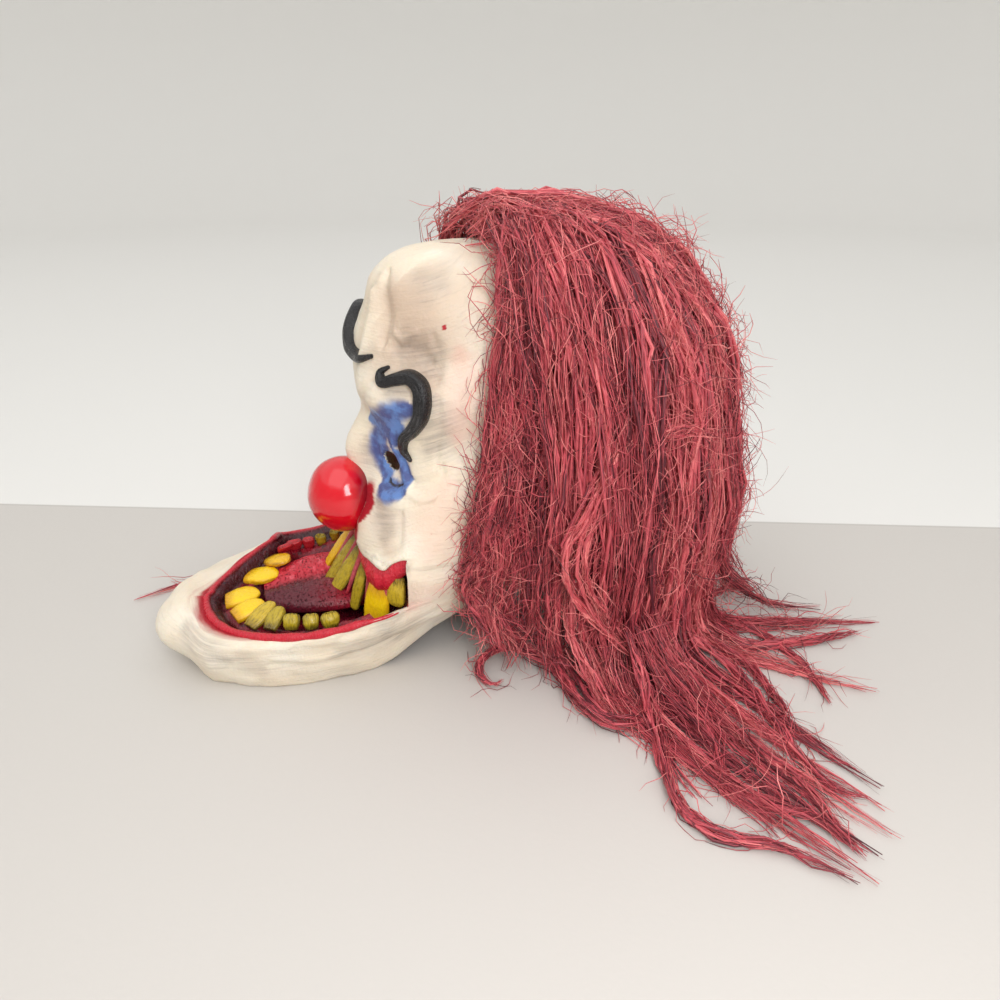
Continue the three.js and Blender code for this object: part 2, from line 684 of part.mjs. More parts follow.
// The tray's surface, from the rim to the middle, as an open sheet
function traySheet(rim) {
  const middle = trayMiddle();
  const rows = TRAY.map((row) => rim.map(({ rim: edge, back }) => {
    const p = middle.clone().lerp(edge, row.out);
    p.z = TRAY_FLOOR + (edge.z - TRAY_FLOOR) * mix(row.front, row.back, back);
    return p;
  }));
  const sheet = gridSheet(rows, { wrap: true });
  const start = (rows.length - 1) * rim.length;
  return closeRing(sheet, rim.map((_, i) => start + i), middle);
}

// A point of the tray's surface at a place on the lip line and a share of the way out
function trayPoint(rim, along, out) {
  const place = (along + 1) / 2 * LIP_STEPS;
  const k = Math.min(Math.max(Math.floor(place), 0), LIP_STEPS - 1);
  const edge = rim[k].rim.clone().lerp(rim[k + 1].rim, place - k);
  const row = TRAY.findIndex((r, i) => i + 1 < TRAY.length && out >= TRAY[i + 1].out);
  const share = (TRAY[row].out - out) / (TRAY[row].out - TRAY[row + 1].out);
  const middle = trayMiddle();
  const p = middle.lerp(edge, out);
  p.z = TRAY_FLOOR + (edge.z - TRAY_FLOOR) * mix(TRAY[row].front, TRAY[row + 1].front, share);
  return p;
}

const UP = new THREE.Vector3(0, 0, 1);

// Upper gum: a bar that follows the upper lip inside the shell, and the palate
function gumStops(grow) {
  const ring = [
    { inset: 1, drop: -0.25 }, { inset: 0.9, drop: 0.2 }, { inset: 0.7, drop: 0.7 },
    { inset: 0.1, drop: 1 }, { inset: -0.7, drop: 0.9 }, { inset: -0.9, drop: 0.3 },
    { inset: -0.9, drop: -0.25 },
  ];
  return Array.from({ length: GUM_STEPS + 1 }, (_, i) => {
    const column = mix(-0.97, 0.97, i / GUM_STEPS);
    const { point, normal } = skinPoint(column, upperLip(column));
    normal.z = 0;
    normal.normalize();
    const centre = point.clone().addScaledVector(normal, -(SKIN_WALL + 2 * GAP + GUM_DEPTH / 2));
    return ring.map(({ inset, drop }) => {
      const p = centre.clone().addScaledVector(normal, inset * (GUM_DEPTH / 2) + Math.sign(inset) * grow);
      const ends = [-0.25, 1];
      p.z -= drop * GUM_HEIGHT + (ends.includes(drop) ? Math.sign(drop) * grow : 0);
      return p;
    });
  });
}

function upperGum(grow) {
  const rings = gumStops(grow);
  const sides = rings[0].length;
  const sheet = gridSheet(rings, { wrap: true });
  const first = Array.from({ length: sides }, (_, k) => k);
  const last = first.map((k) => k + sides * (rings.length - 1));
  closeRing(sheet, first, middleOf(rings[0]), true);
  closeRing(sheet, last, middleOf(rings[rings.length - 1]));
  const bar = solidOf(sheet);
  const half = (rings.length - 1) / 2;
  const rows = Array.from({ length: half }, (_, j) => {
    const ends = [rings[j], rings[rings.length - 1 - j]];
    const [left, right] = ends.map((ring) => ring[0].clone().lerp(ring[6], 0.5));
    return Array.from({ length: 5 }, (_, i) => {
      const p = left.clone().lerp(right, i / 4);
      p.z += -GUM_HEIGHT * 0.1 + Math.sin(Math.PI * i / 4) * PALATE_WALL;
      return p;
    });
  });
  const palate = thicken(gridSheet(rows), PALATE_WALL / 2 + grow, PALATE_WALL / 2 + grow);
  return bar.add(palate);
}

// Tooth: a rounded wedge from its root to its cutting edge
function tooth(root, tip, across, width, thickness) {
  const profile = [
    { at: 0, wide: 0.62, deep: 0.8 },
    { at: 0.4, wide: 0.92, deep: 1 },
    { at: 0.85, wide: 1, deep: 0.65 },
    { at: 1, wide: 0.82, deep: 0.3 },
  ];
  const stops = profile.map(({ at, wide, deep }) => ({
    point: root.clone().lerp(tip, at),
    side: across,
    half: wide * width / 2,
    deep: deep * thickness / 2,
  }));
  return sweep(stops, TOOTH_SIDES);
}

function lowerTooth(rim, { along, out, width, length, lean }) {
  const seat = trayPoint(rim, along, out);
  const inward = trayPoint(rim, along, out - 0.1).sub(seat).setZ(0).normalize();
  const across = inward.clone().cross(UP);
  const rise = Math.cos(radians(lean));
  const direction = inward.clone().multiplyScalar(Math.sin(radians(lean))).addScaledVector(UP, rise);
  const reach = length * TOOTH_LENGTH;
  const thickness = lean < 40 ? TOOTH_THICKNESS * 1.3 : TOOTH_THICKNESS;
  const root = seat.clone().addScaledVector(direction, -2).addScaledVector(UP, 1.5);
  const tip = root.clone().addScaledVector(direction, reach);
  return tooth(root, tip, across, width * TOOTH_WIDTH, thickness);
}

function upperTooth({ along, width, length, lean, twist }) {
  const { point, normal } = skinPoint(along, upperLip(along));
  normal.z = 0;
  normal.normalize();
  const seat = point.addScaledVector(normal, -(SKIN_WALL + 2 * GAP + GUM_DEPTH / 2));
  seat.z -= GUM_HEIGHT * 0.78;
  const across = normal.clone().cross(UP).applyAxisAngle(UP, radians(twist));
  const forward = new THREE.Vector3(0, -1, 0).lerp(normal, 0.5).normalize();
  const direction = forward.multiplyScalar(Math.sin(radians(lean)));
  direction.addScaledVector(UP, -Math.cos(radians(lean)));
  const tip = seat.clone().addScaledVector(direction, length * UPPER_TOOTH_LENGTH);
  return tooth(seat, tip, across, width * TOOTH_WIDTH, TOOTH_THICKNESS);
}

// Tongue: a flat two-lobed pad on the tray's floor
function tongue() {
  const stations = Array.from({ length: TONGUE_ROWS }, (_, i) => {
    const t = i / (TONGUE_ROWS - 1);
    const y = TRAY_MIDDLE.y * JAW_REACH + mix(-0.48, 0.52, t) * TONGUE_LENGTH;
    const half = TONGUE_WIDTH / 2 * Math.sqrt(Math.max(0.06, Math.sin(Math.PI * mix(0.06, 0.72, t))));
    return Array.from({ length: TONGUE_SIDES }, (_, k) => {
      const angle = -2 * Math.PI * k / TONGUE_SIDES;
      const c = Math.cos(angle);
      const s = Math.sin(angle);
      const groove = 0.3 * Math.exp(-((c / 0.22) ** 2)) * (s > 0 ? 1 : 0);
      const height = TONGUE_HEIGHT * (0.5 + 0.5 * signedPower(s, 0.8) * (s > 0 ? 1 - groove : 0.6));
      const low = TRAY_FLOOR + LINING_WALL * 0.4 + t * 1.5;
      const x = trayMiddle().x + half * signedPower(c, 0.8);
      return new THREE.Vector3(x, y, low + height * mix(0.75, 1, Math.sin(Math.PI * t)));
    });
  });
  const sheet = gridSheet(stations, { wrap: true });
  const first = Array.from({ length: TONGUE_SIDES }, (_, k) => k);
  closeRing(sheet, first, middleOf(stations[0]), true);
  const last = first.map((k) => k + TONGUE_SIDES * (TONGUE_ROWS - 1));
  closeRing(sheet, last, middleOf(stations[TONGUE_ROWS - 1]));
  return solidOf(sheet);
}

// Wig: a backing cap over the skull behind the hairline, thin at its edges
function wigBacking() {
  const rows = HAIRLINE.map(({ height, y }) => {
    const z = height * HEAD_HEIGHT;
    const section = sectionAt(z);
    const edge = turnAtDepth(section, y * FACE_REACH);
    return Array.from({ length: CAP_COLUMNS }, (_, i) => {
      const turn = mix(edge, 2 * Math.PI - edge, i / (CAP_COLUMNS - 1));
      return outlinePoint(section, turn, z);
    });
  });
  const sheet = gridSheet(rows);
  const crown = sheet.points.push(new THREE.Vector3(0, CROWN.middle * JAW_REACH, HEAD_HEIGHT)) - 1;
  const start = (rows.length - 1) * CAP_COLUMNS;
  for (let i = 0; i + 1 < CAP_COLUMNS; i += 1) sheet.faces.push([start + i, start + i + 1, crown]);
  const pad = (i) => {
    const column = i === crown ? 0 : i % CAP_COLUMNS;
    const row = Math.floor(i / CAP_COLUMNS);
    const inwards = Math.min(column, CAP_COLUMNS - 1 - column, row + 0.5, 1);
    return HAIR_PAD * mix(0.4, 1, inwards);
  };
  return thicken(sheet, pad, -PAD_CLEARANCE);
}

// Lock: from its root at the crown it lifts off the head, falls in a quarter oval
// to its foot, squarer where the foot is close, and lies along the table.
function lock({ turn, foot, tail, wide }) {
  const rootZ = 0.985 * HEAD_HEIGHT;
  const section = sectionAt(rootZ);
  const root = outlinePoint(section, radians(turn), rootZ + HAIR_PAD * 0.5);
  const crest = root.clone().addScaledVector(UP, HAIR_LIFT * 0.5);
  const half = wide * LOCK_WIDTH / 2;
  const deep = wide * LOCK_DEPTH / 2;
  const placed = (shares) => {
    const p = new THREE.Vector3(...shares).multiplyScalar(HAIR_REACH);
    return p.addScaledVector(UP, deep * 0.3);
  };
  const end = placed(foot);
  const far = ease(0.4, 1, Math.hypot(foot[0], foot[1]));
  const round = mix(0.5, 1, far);
  const fall = Array.from({ length: 6 }, (_, i) => {
    const angle = radians(10 + 80 * (i + 1) / 6);
    return new THREE.Vector3(
      mix(crest.x, end.x, Math.sin(angle) ** round),
      mix(crest.y, end.y, mix(1 - Math.cos(angle), Math.sin(angle) ** round, ease(0, 0.3, far))),
      mix(end.z, crest.z, Math.cos(angle) ** round),
    );
  });
  const route = [root, crest, ...fall, ...tail.map(placed)];
  const curve = new THREE.CatmullRomCurve3(route, false, 'centripetal');
  const steps = 5 + 2 * tail.length;
  const stops = Array.from({ length: steps + 1 }, (_, i) => {
    const t = i / steps;
    const point = curve.getPointAt(t);
    const across = new THREE.Vector3(-point.y, point.x, 0).normalize();
    const taper = mix(1, tail.length ? 0.16 : 0.55, t ** 1.6) * Math.min(1, 0.5 + 4 * t);
    return { point, side: across, half: half * taper, deep: deep * taper };
  });
  return sweep(stops, LOCK_SIDES, 0);
}

function wig(face) {
  const hair = joined([wigBacking(), ...LOCKS.map(lock)]);
  return cutFrom(hair, face);
}

// The assembly
const LATEX = { color: 0xe9dfcb, roughness: 0.6, metalness: 0 };
const BALL_RED = { color: 0xc8102e, roughness: 0.2, metalness: 0 };
const LIP_RED = { color: 0x8e1a2c, roughness: 0.35, metalness: 0 };
const TONGUE_RED = { color: 0xb3273a, roughness: 0.4, metalness: 0 };
const TOOTH_YELLOW = { color: 0xe3b81c, roughness: 0.35, metalness: 0 };
const BROW_BLACK = { color: 0x16151a, roughness: 0.35, metalness: 0 };
const HAIR_RED = { color: 0x8a2032, roughness: 0.55, metalness: 0 };

const number = (i) => String(i + 1).padStart(2, '0');

function assembly() {
  const face = headMass(GAP);
  const wall = skinWall(GAP);
  const rim = trayRim();
  const tray = traySheet(rim);
  const trayRoom = thicken(tray, GAP, LINING_WALL + GAP);
  const underTray = trayRoom.add(thicken(tray, 0, 2 * TRAY_FLOOR, UP));
  const gumRoom = upperGum(GAP);
  const lining = cutFrom(thicken(tray, 0, LINING_WALL), wall);
  const lowerTeeth = LOWER_TEETH.map((row) => cutFrom(lowerTooth(rim, row), underTray));
  const group = new THREE.Group();
  group.add(meshOf('skin', skin(), LATEX));
  group.add(meshOf('nose', nose(face), BALL_RED));
  group.add(meshOf('brow_left', brow(NEAR_BROW, 1, face), BROW_BLACK));
  group.add(meshOf('brow_right', brow(FAR_BROW, -1, face), BROW_BLACK));
  group.add(meshOf('mouth_lining', lining, LIP_RED));
  group.add(meshOf('upper_gum', cutFrom(upperGum(0), wall.add(trayRoom)), LIP_RED));
  group.add(meshOf('tongue', cutFrom(tongue(), underTray), TONGUE_RED));
  lowerTeeth.forEach((solid, i) => group.add(meshOf(`lower_tooth_${number(i)}`, solid, TOOTH_YELLOW)));
  UPPER_TEETH.forEach((row, i) => {
    const solid = cutFrom(upperTooth(row), gumRoom.add(trayRoom));
    group.add(meshOf(`upper_tooth_${number(i)}`, solid, TOOTH_YELLOW));
  });
  group.add(meshOf('wig', wig(face), HAIR_RED));
  return group;
}

const mask = assembly();
const box = new THREE.Box3().setFromObject(mask);
mask.position.set(-(box.min.x + box.max.x) / 2, -(box.min.y + box.max.y) / 2, -box.min.z);

export default mask;
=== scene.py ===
"""An over-the-head latex clown mask: its fine surface, its hair and its finishes.

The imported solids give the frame. Every shape here is worked out in the mask's own
axes in millimetres, with the face looking along -Y and +X on the mask's left side,
and is moved into the row frame, in metres, as its mesh is made.
"""

import logging
import math
from dataclasses import dataclass, field
from enum import Enum
from typing import Optional, Sequence

import bpy
import numpy as np
from mathutils import Matrix, Vector


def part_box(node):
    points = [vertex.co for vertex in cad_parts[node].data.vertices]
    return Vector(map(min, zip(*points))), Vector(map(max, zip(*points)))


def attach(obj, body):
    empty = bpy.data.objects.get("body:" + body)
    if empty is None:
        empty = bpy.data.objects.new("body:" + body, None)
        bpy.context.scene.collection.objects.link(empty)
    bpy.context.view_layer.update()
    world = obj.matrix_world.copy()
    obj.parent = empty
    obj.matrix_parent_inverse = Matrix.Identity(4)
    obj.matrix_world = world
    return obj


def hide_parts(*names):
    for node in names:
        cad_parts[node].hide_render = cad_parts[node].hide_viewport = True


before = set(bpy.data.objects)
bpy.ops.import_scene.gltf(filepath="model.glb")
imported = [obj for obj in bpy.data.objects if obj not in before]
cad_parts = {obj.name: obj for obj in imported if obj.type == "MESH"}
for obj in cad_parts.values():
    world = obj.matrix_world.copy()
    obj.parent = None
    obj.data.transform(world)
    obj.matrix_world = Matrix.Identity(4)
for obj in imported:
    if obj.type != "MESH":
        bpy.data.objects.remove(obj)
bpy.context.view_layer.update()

log = logging.getLogger("clown mask")
Array = np.ndarray
METRES = 0.001
TURN = 2 * np.pi


# Small sums that every part uses


def mix(a: Array, b: Array, share: Array) -> Array:
    """The value a share of the way from a to b."""
    return a + (b - a) * share


def ease(start: float, end: float, value: Array) -> Array:
    """A smooth step: 0 before start, 1 past end, 3t^2 - 2t^3 between."""
    t = np.clip((value - start) / (end - start), 0, 1)
    return t * t * (3 - 2 * t)


def signed_power(value: Array, power: Array) -> Array:
    """The size of value raised to power, with value's sign."""
    return np.sign(value) * np.abs(value) ** power


def unit(vectors: Array) -> Array:
    """Vectors scaled to length 1."""
    return vectors / np.maximum(np.linalg.norm(vectors, axis=-1, keepdims=True), 1e-9)


def bump_at(value: Array, middle: float, spread: float) -> Array:
    """A bell of height 1 at middle: exp(-d^2 / 2), with d counted in spreads."""
    return np.exp(-(((value - middle) / spread) ** 2) / 2)


def linear(red: int, green: int, blue: int) -> Array:
    """A screen colour from 0 to 255 as linear light.

    Args:
        red, green, blue: the colour as a screen shows it.

    Returns:
        The three linear values.
    """
    shown = np.array([red, green, blue]) / 255
    return np.where(shown <= 0.04045, shown / 12.92, ((shown + 0.055) / 1.055) ** 2.4)


def paint_colour(red: int, green: int, blue: int) -> Array:
    """A class's default colour, given as a screen shows it."""
    return field(default_factory=lambda: linear(red, green, blue))


def read_along(t: Array, knots: Array, values: Array) -> Array:
    """Rows of values that stand at the knots, read evenly between them at t."""
    return np.stack([np.interp(t, knots, values[:, i]) for i in range(values.shape[1])], -1)


def level(ways: Array) -> Array:
    """Directions laid level and scaled to length 1."""
    return unit(ways * np.array([1, 1, 0]))


@dataclass(frozen=True)
class Table:
    """Rows of numbers whose columns have names."""

    names: str
    rows: tuple

    def column(self, name: str) -> Array:
        """One column, from the first row to the last."""
        return np.array([row[self.names.split().index(name)] for row in self.rows], float)

    def records(self) -> list[dict]:
        """Every row as a name and value lookup."""
        return [dict(zip(self.names.split(), row)) for row in self.rows]


@dataclass(frozen=True)
class Ripple:
    """Smooth seeded noise in space, about -1 to 1."""

    seed: int
    size: float
    octaves: int = 3
    waves: int = 12

    def __call__(self, points: Array) -> Array:
        """Sums sines of the distance along random directions, half as high each octave.

        Args:
            points: places, with x, y, z last.

        Returns:
            One value for each place.
        """
        random = np.random.default_rng(self.seed)
        total = np.zeros(points.shape[:-1])
        for octave in range(self.octaves):
            ways = unit(random.normal(size=(self.waves, 3)))
            pitch = TURN / self.size * 2.0**octave * random.uniform(0.7, 1.4, self.waves)
            phase = random.uniform(0, TURN, self.waves)
            for way, rate, start in zip(ways, pitch, phase):
                total += np.sin(points @ way * rate + start) * 0.5**octave
        return total / math.sqrt(self.waves)


# Meshes


@dataclass
class Surface:
    """Points and faces of a mesh in the making, with what is painted on its points."""

    points: Array
    quads: Array = field(default_factory=lambda: np.zeros((0, 4), int))
    tris: Array = field(default_factory=lambda: np.zeros((0, 3), int))
    paint: dict[str, Array] = field(default_factory=dict)

    @staticmethod
    def joined(parts: Sequence["Surface"]) -> "Surface":
        """Several surfaces as one, with their paint."""
        starts = np.cumsum([0] + [len(part.points) for part in parts])
        return Surface(
            np.concatenate([part.points for part in parts]),
            np.concatenate([part.quads + start for part, start in zip(parts, starts)]),
            np.concatenate([part.tris + start for part, start in zip(parts, starts)]),
            {key: np.concatenate([part.paint[key] for part in parts]) for key in parts[0].paint},
        )

    def normals(self) -> Array:
        """The outward direction at each point: the sum of its faces' cross products."""
        total = np.zeros_like(self.points)
        tris = np.concatenate([self.quads[:, [0, 1, 2]], self.quads[:, [0, 2, 3]], self.tris])
        a, b, c = (self.points[tris[:, i]] for i in range(3))
        area = np.cross(b - a, c - a)
        for i in range(3):
            np.add.at(total, tris[:, i], area)
        return unit(total)

    def thickened(self, wall: Array, directions: Optional[Array] = None) -> "Surface":
        """A closed solid between this open sheet and the same sheet moved inwards.

        The inner sheet is each point less wall times its direction, with its faces
        turned round, and a strip of quads joins the two along every free edge.

        Args:
            wall: the thickness, one number or one for each point.
            directions: outward directions, or None for the sheet's own.

        Returns:
            The solid; the inner points carry the paint of the outer ones.
        """
        count = len(self.points)
        ways = self.normals() if directions is None else directions
        inner = self.points - ways * np.broadcast_to(wall, count)[:, None]
        edges = np.concatenate(
            [self.quads[:, [i, (i + 1) % 4]] for i in range(4)]
            + [self.tris[:, [i, (i + 1) % 3]] for i in range(3)]
        )
        low, high = edges.min(axis=1), edges.max(axis=1)
        _, index, times = np.unique(low * count + high, return_index=True, return_counts=True)
        free = edges[index[times == 1]]
        strip = np.stack([free[:, 1], free[:, 0], free[:, 0] + count, free[:, 1] + count], 1)
        return Surface(
            np.concatenate([self.points, inner]),
            np.concatenate([self.quads, self.quads[:, ::-1] + count, strip]),
            np.concatenate([self.tris, self.tris[:, ::-1] + count]),
            {key: np.concatenate([value, value]) for key, value in self.paint.items()},
        )

    def packed(self) -> "Surface":
        """The same surface without the points that no face uses."""
        used = np.zeros(len(self.points), bool)
        used[self.quads.ravel()] = True
        used[self.tris.ravel()] = True
        index = np.cumsum(used) - 1
        paint = {key: value[used] for key, value in self.paint.items()}
        return Surface(self.points[used], index[self.quads], index[self.tris], paint)


def grid_quads(rows: int, columns: int, around: bool) -> Array:
    """The quads of a grid of points, row by row.

    Args:
        rows, columns: the size of the grid.
        around: True where the last column joins the first.

    Returns:
        Four point numbers for each quad, in the order right, then up.
    """
    row, column = np.mgrid[0 : rows - 1, 0 : columns if around else columns - 1]
    first = row * columns + column
    second = row * columns + (column + 1) % columns
    return np.stack([first, second, second + columns, first + columns], -1).reshape(-1, 4)


def tip_fans(rows: int, sides: int, start: int, turned: bool = False) -> Array:
    """The triangles that close both ends of a run of rings.

    Args:
        rows, sides: how many rings there are, and points on each.
        start: the number of the first end's point; the last end's is the next one.
        turned: True where the rings run the other way round.

    Returns:
        Three point numbers for each triangle.
    """
    first = np.arange(sides)
    last = first + (rows - 1) * sides
    near = np.stack([np.roll(first, -1), first, np.full(sides, start)], 1)
    far = np.stack([last, np.roll(last, -1), np.full(sides, start + 1)], 1)
    fans = np.concatenate([near, far])
    return fans[:, [1, 0, 2]] if turned else fans


def tubes(paths: Array, halves: Array, sides: int, ways: Array, **paint: Array) -> Surface:
    """Closed tubes along many paths at once.

    A ring of points stands round each path point: side cos(a) half + up sin(a) half,
    where side is the path's way made square to it and up is along x side.

    Args:
        paths: places, as tubes x stops x 3.
        halves: the tubes' half widths, tubes x stops, or x 2 for side and up.
        sides: the points round each ring.
        ways: one direction for each tube, or each stop, that the side turns to.
        paint: values for each stop, repeated round the ring.

    Returns:
        One surface with all the tubes, and the ring's turn and run in grain.
    """
    count, stops = paths.shape[:2]
    halves = halves if halves.ndim == 3 else np.repeat(halves[..., None], 2, axis=2)
    ways = ways if ways.ndim == 3 else np.repeat(ways[:, None], stops, axis=1)
    along = unit(np.gradient(paths, axis=1))
    side = unit(ways - along * np.sum(ways * along, -1, keepdims=True))
    up = np.cross(along, side)
    angle = TURN * np.arange(sides) / sides
    ring = (
        side[:, :, None] * (halves[..., 0:1] * np.cos(angle))[..., None]
        + up[:, :, None] * (halves[..., 1:2] * np.sin(angle))[..., None]
    )
    points = (paths[:, :, None] + ring).reshape(-1, 3)
    per_tube = stops * sides
    starts = (np.arange(count) * per_tube)[:, None, None]
    quads = (grid_quads(stops, sides, True)[None] + starts).reshape(-1, 4)
    fan = np.stack([np.zeros(sides - 2, int), np.arange(1, sides - 1), np.arange(2, sides)], 1)
    caps = np.concatenate([fan[:, ::-1], fan + per_tube - sides])
    tris = (caps[None] + starts).reshape(-1, 3)
    run = np.cumsum(np.linalg.norm(np.diff(paths, axis=1, prepend=paths[:, :1]), axis=-1), axis=1)
    grain = np.empty((count, stops, sides, 3))
    grain[..., 0] = np.cos(angle) * halves[..., 0:1]
    grain[..., 1] = np.sin(angle) * halves[..., 1:2]
    grain[..., 2] = run[:, :, None]
    spread = {
        key: np.repeat(np.broadcast_to(value, (count, stops) + value.shape[2:])[:, :, None], sides, 2)
        .reshape((-1,) + value.shape[2:])
        for key, value in paint.items()
    }
    return Surface(points, quads, tris, {"grain": grain.reshape(-1, 3), **spread})


def smooth_path(points: Array, count: int) -> Array:
    """An even run of places along a smooth curve through the given ones.

    The curve is a Catmull-Rom spline whose knots stand apart by the square root of
    the distance between the points, which keeps it from looping.

    Args:
        points: the places that it goes through.
        count: how many places to give back.

    Returns:
        The places, evenly spaced along the curve.
    """
    ends = [2 * points[0] - points[1]], points, [2 * points[-1] - points[-2]]
    p = np.concatenate(ends)
    knots = np.cumsum(np.r_[0, np.maximum(np.linalg.norm(np.diff(p, axis=0), axis=1), 1e-6) ** 0.5])
    fine = []
    for i in range(len(points) - 1):
        t = np.linspace(knots[i + 1], knots[i + 2], 24, endpoint=i == len(points) - 2)[:, None]
        k, q = knots[i : i + 4], p[i : i + 4]
        a = [mix(q[j], q[j + 1], (t - k[j]) / (k[j + 1] - k[j])) for j in range(3)]
        b = [mix(a[j], a[j + 1], (t - k[j]) / (k[j + 2] - k[j])) for j in range(2)]
        fine.append(mix(b[0], b[1], (t - k[1]) / (k[2] - k[1])))
    fine = np.concatenate(fine)
    run = np.cumsum(np.r_[0, np.linalg.norm(np.diff(fine, axis=0), axis=1)])
    even = np.linspace(0, run[-1], count)
    return read_along(even, run, fine)


@dataclass(frozen=True)
class Workshop:
    """Turns surfaces into Blender objects that ride with the mask."""

    shift: Array

    @staticmethod
    def round_the_nose(nose: "Nose") -> "Workshop":
        """Finds the shift from the mask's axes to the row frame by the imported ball."""
        low, high = (np.array(corner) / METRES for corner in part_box("nose"))
        front = nose.middle[1] - nose.radius
        return Workshop(np.array([(low[0] + high[0]) / 2, low[1] - front, 0.0]))

    def place(self, points: Array) -> Array:
        """Places in the mask's axes as metres in the row frame."""
        return (points + self.shift) * METRES

    def mesh(self, name: str, surface: Surface) -> bpy.types.Object:
        """An object with the surface's mesh, smooth, with its paint as attributes."""
        mesh = bpy.data.meshes.new(name)
        points = self.place(surface.points)
        sizes = np.r_[np.full(len(surface.quads), 4), np.full(len(surface.tris), 3)]
        corners = np.r_[surface.quads.ravel(), surface.tris.ravel()].astype(np.int32)
        mesh.vertices.add(len(points))
        mesh.vertices.foreach_set("co", points.astype(np.float32).ravel())
        mesh.loops.add(len(corners))
        mesh.loops.foreach_set("vertex_index", corners)
        mesh.polygons.add(len(sizes))
        mesh.polygons.foreach_set("loop_start", np.r_[0, np.cumsum(sizes)[:-1]].astype(np.int32))
        mesh.polygons.foreach_set("use_smooth", np.ones(len(sizes), bool))
        for key, value in surface.paint.items():
            if value.ndim == 1:
                layer = mesh.attributes.new(key, "FLOAT", "POINT")
                layer.data.foreach_set("value", value.astype(np.float32))
            else:
                layer = mesh.attributes.new(key, "FLOAT_VECTOR", "POINT")
                layer.data.foreach_set("vector", value.astype(np.float32).ravel())
        mesh.update(calc_edges=True)
        mesh.validate()
        made = bpy.data.objects.new(name, mesh)
        bpy.context.scene.collection.objects.link(made)
        return made

    def piece(
        self,
        name: str,
        surface: Surface,
        finish: "Finish",
        replaced: Sequence[str] = (),
    ) -> bpy.types.Object:
        """A finished piece of the mask.

        Args:
            name: the piece's name.
            surface: its shape.
            finish: what it is made of and painted with.
            replaced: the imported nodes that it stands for.

        Returns:
            The object, riding with the mask.
        """
        made = self.mesh(name, surface)
        made.data.materials.append(finish.material())
        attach(made, "root")
        if replaced:
            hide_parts(*replaced)
        faces = 2 * len(surface.quads) + len(surface.tris)
        log.info("%s: %d triangles", name, faces)
        return made


# The form of the head, as in the part's source


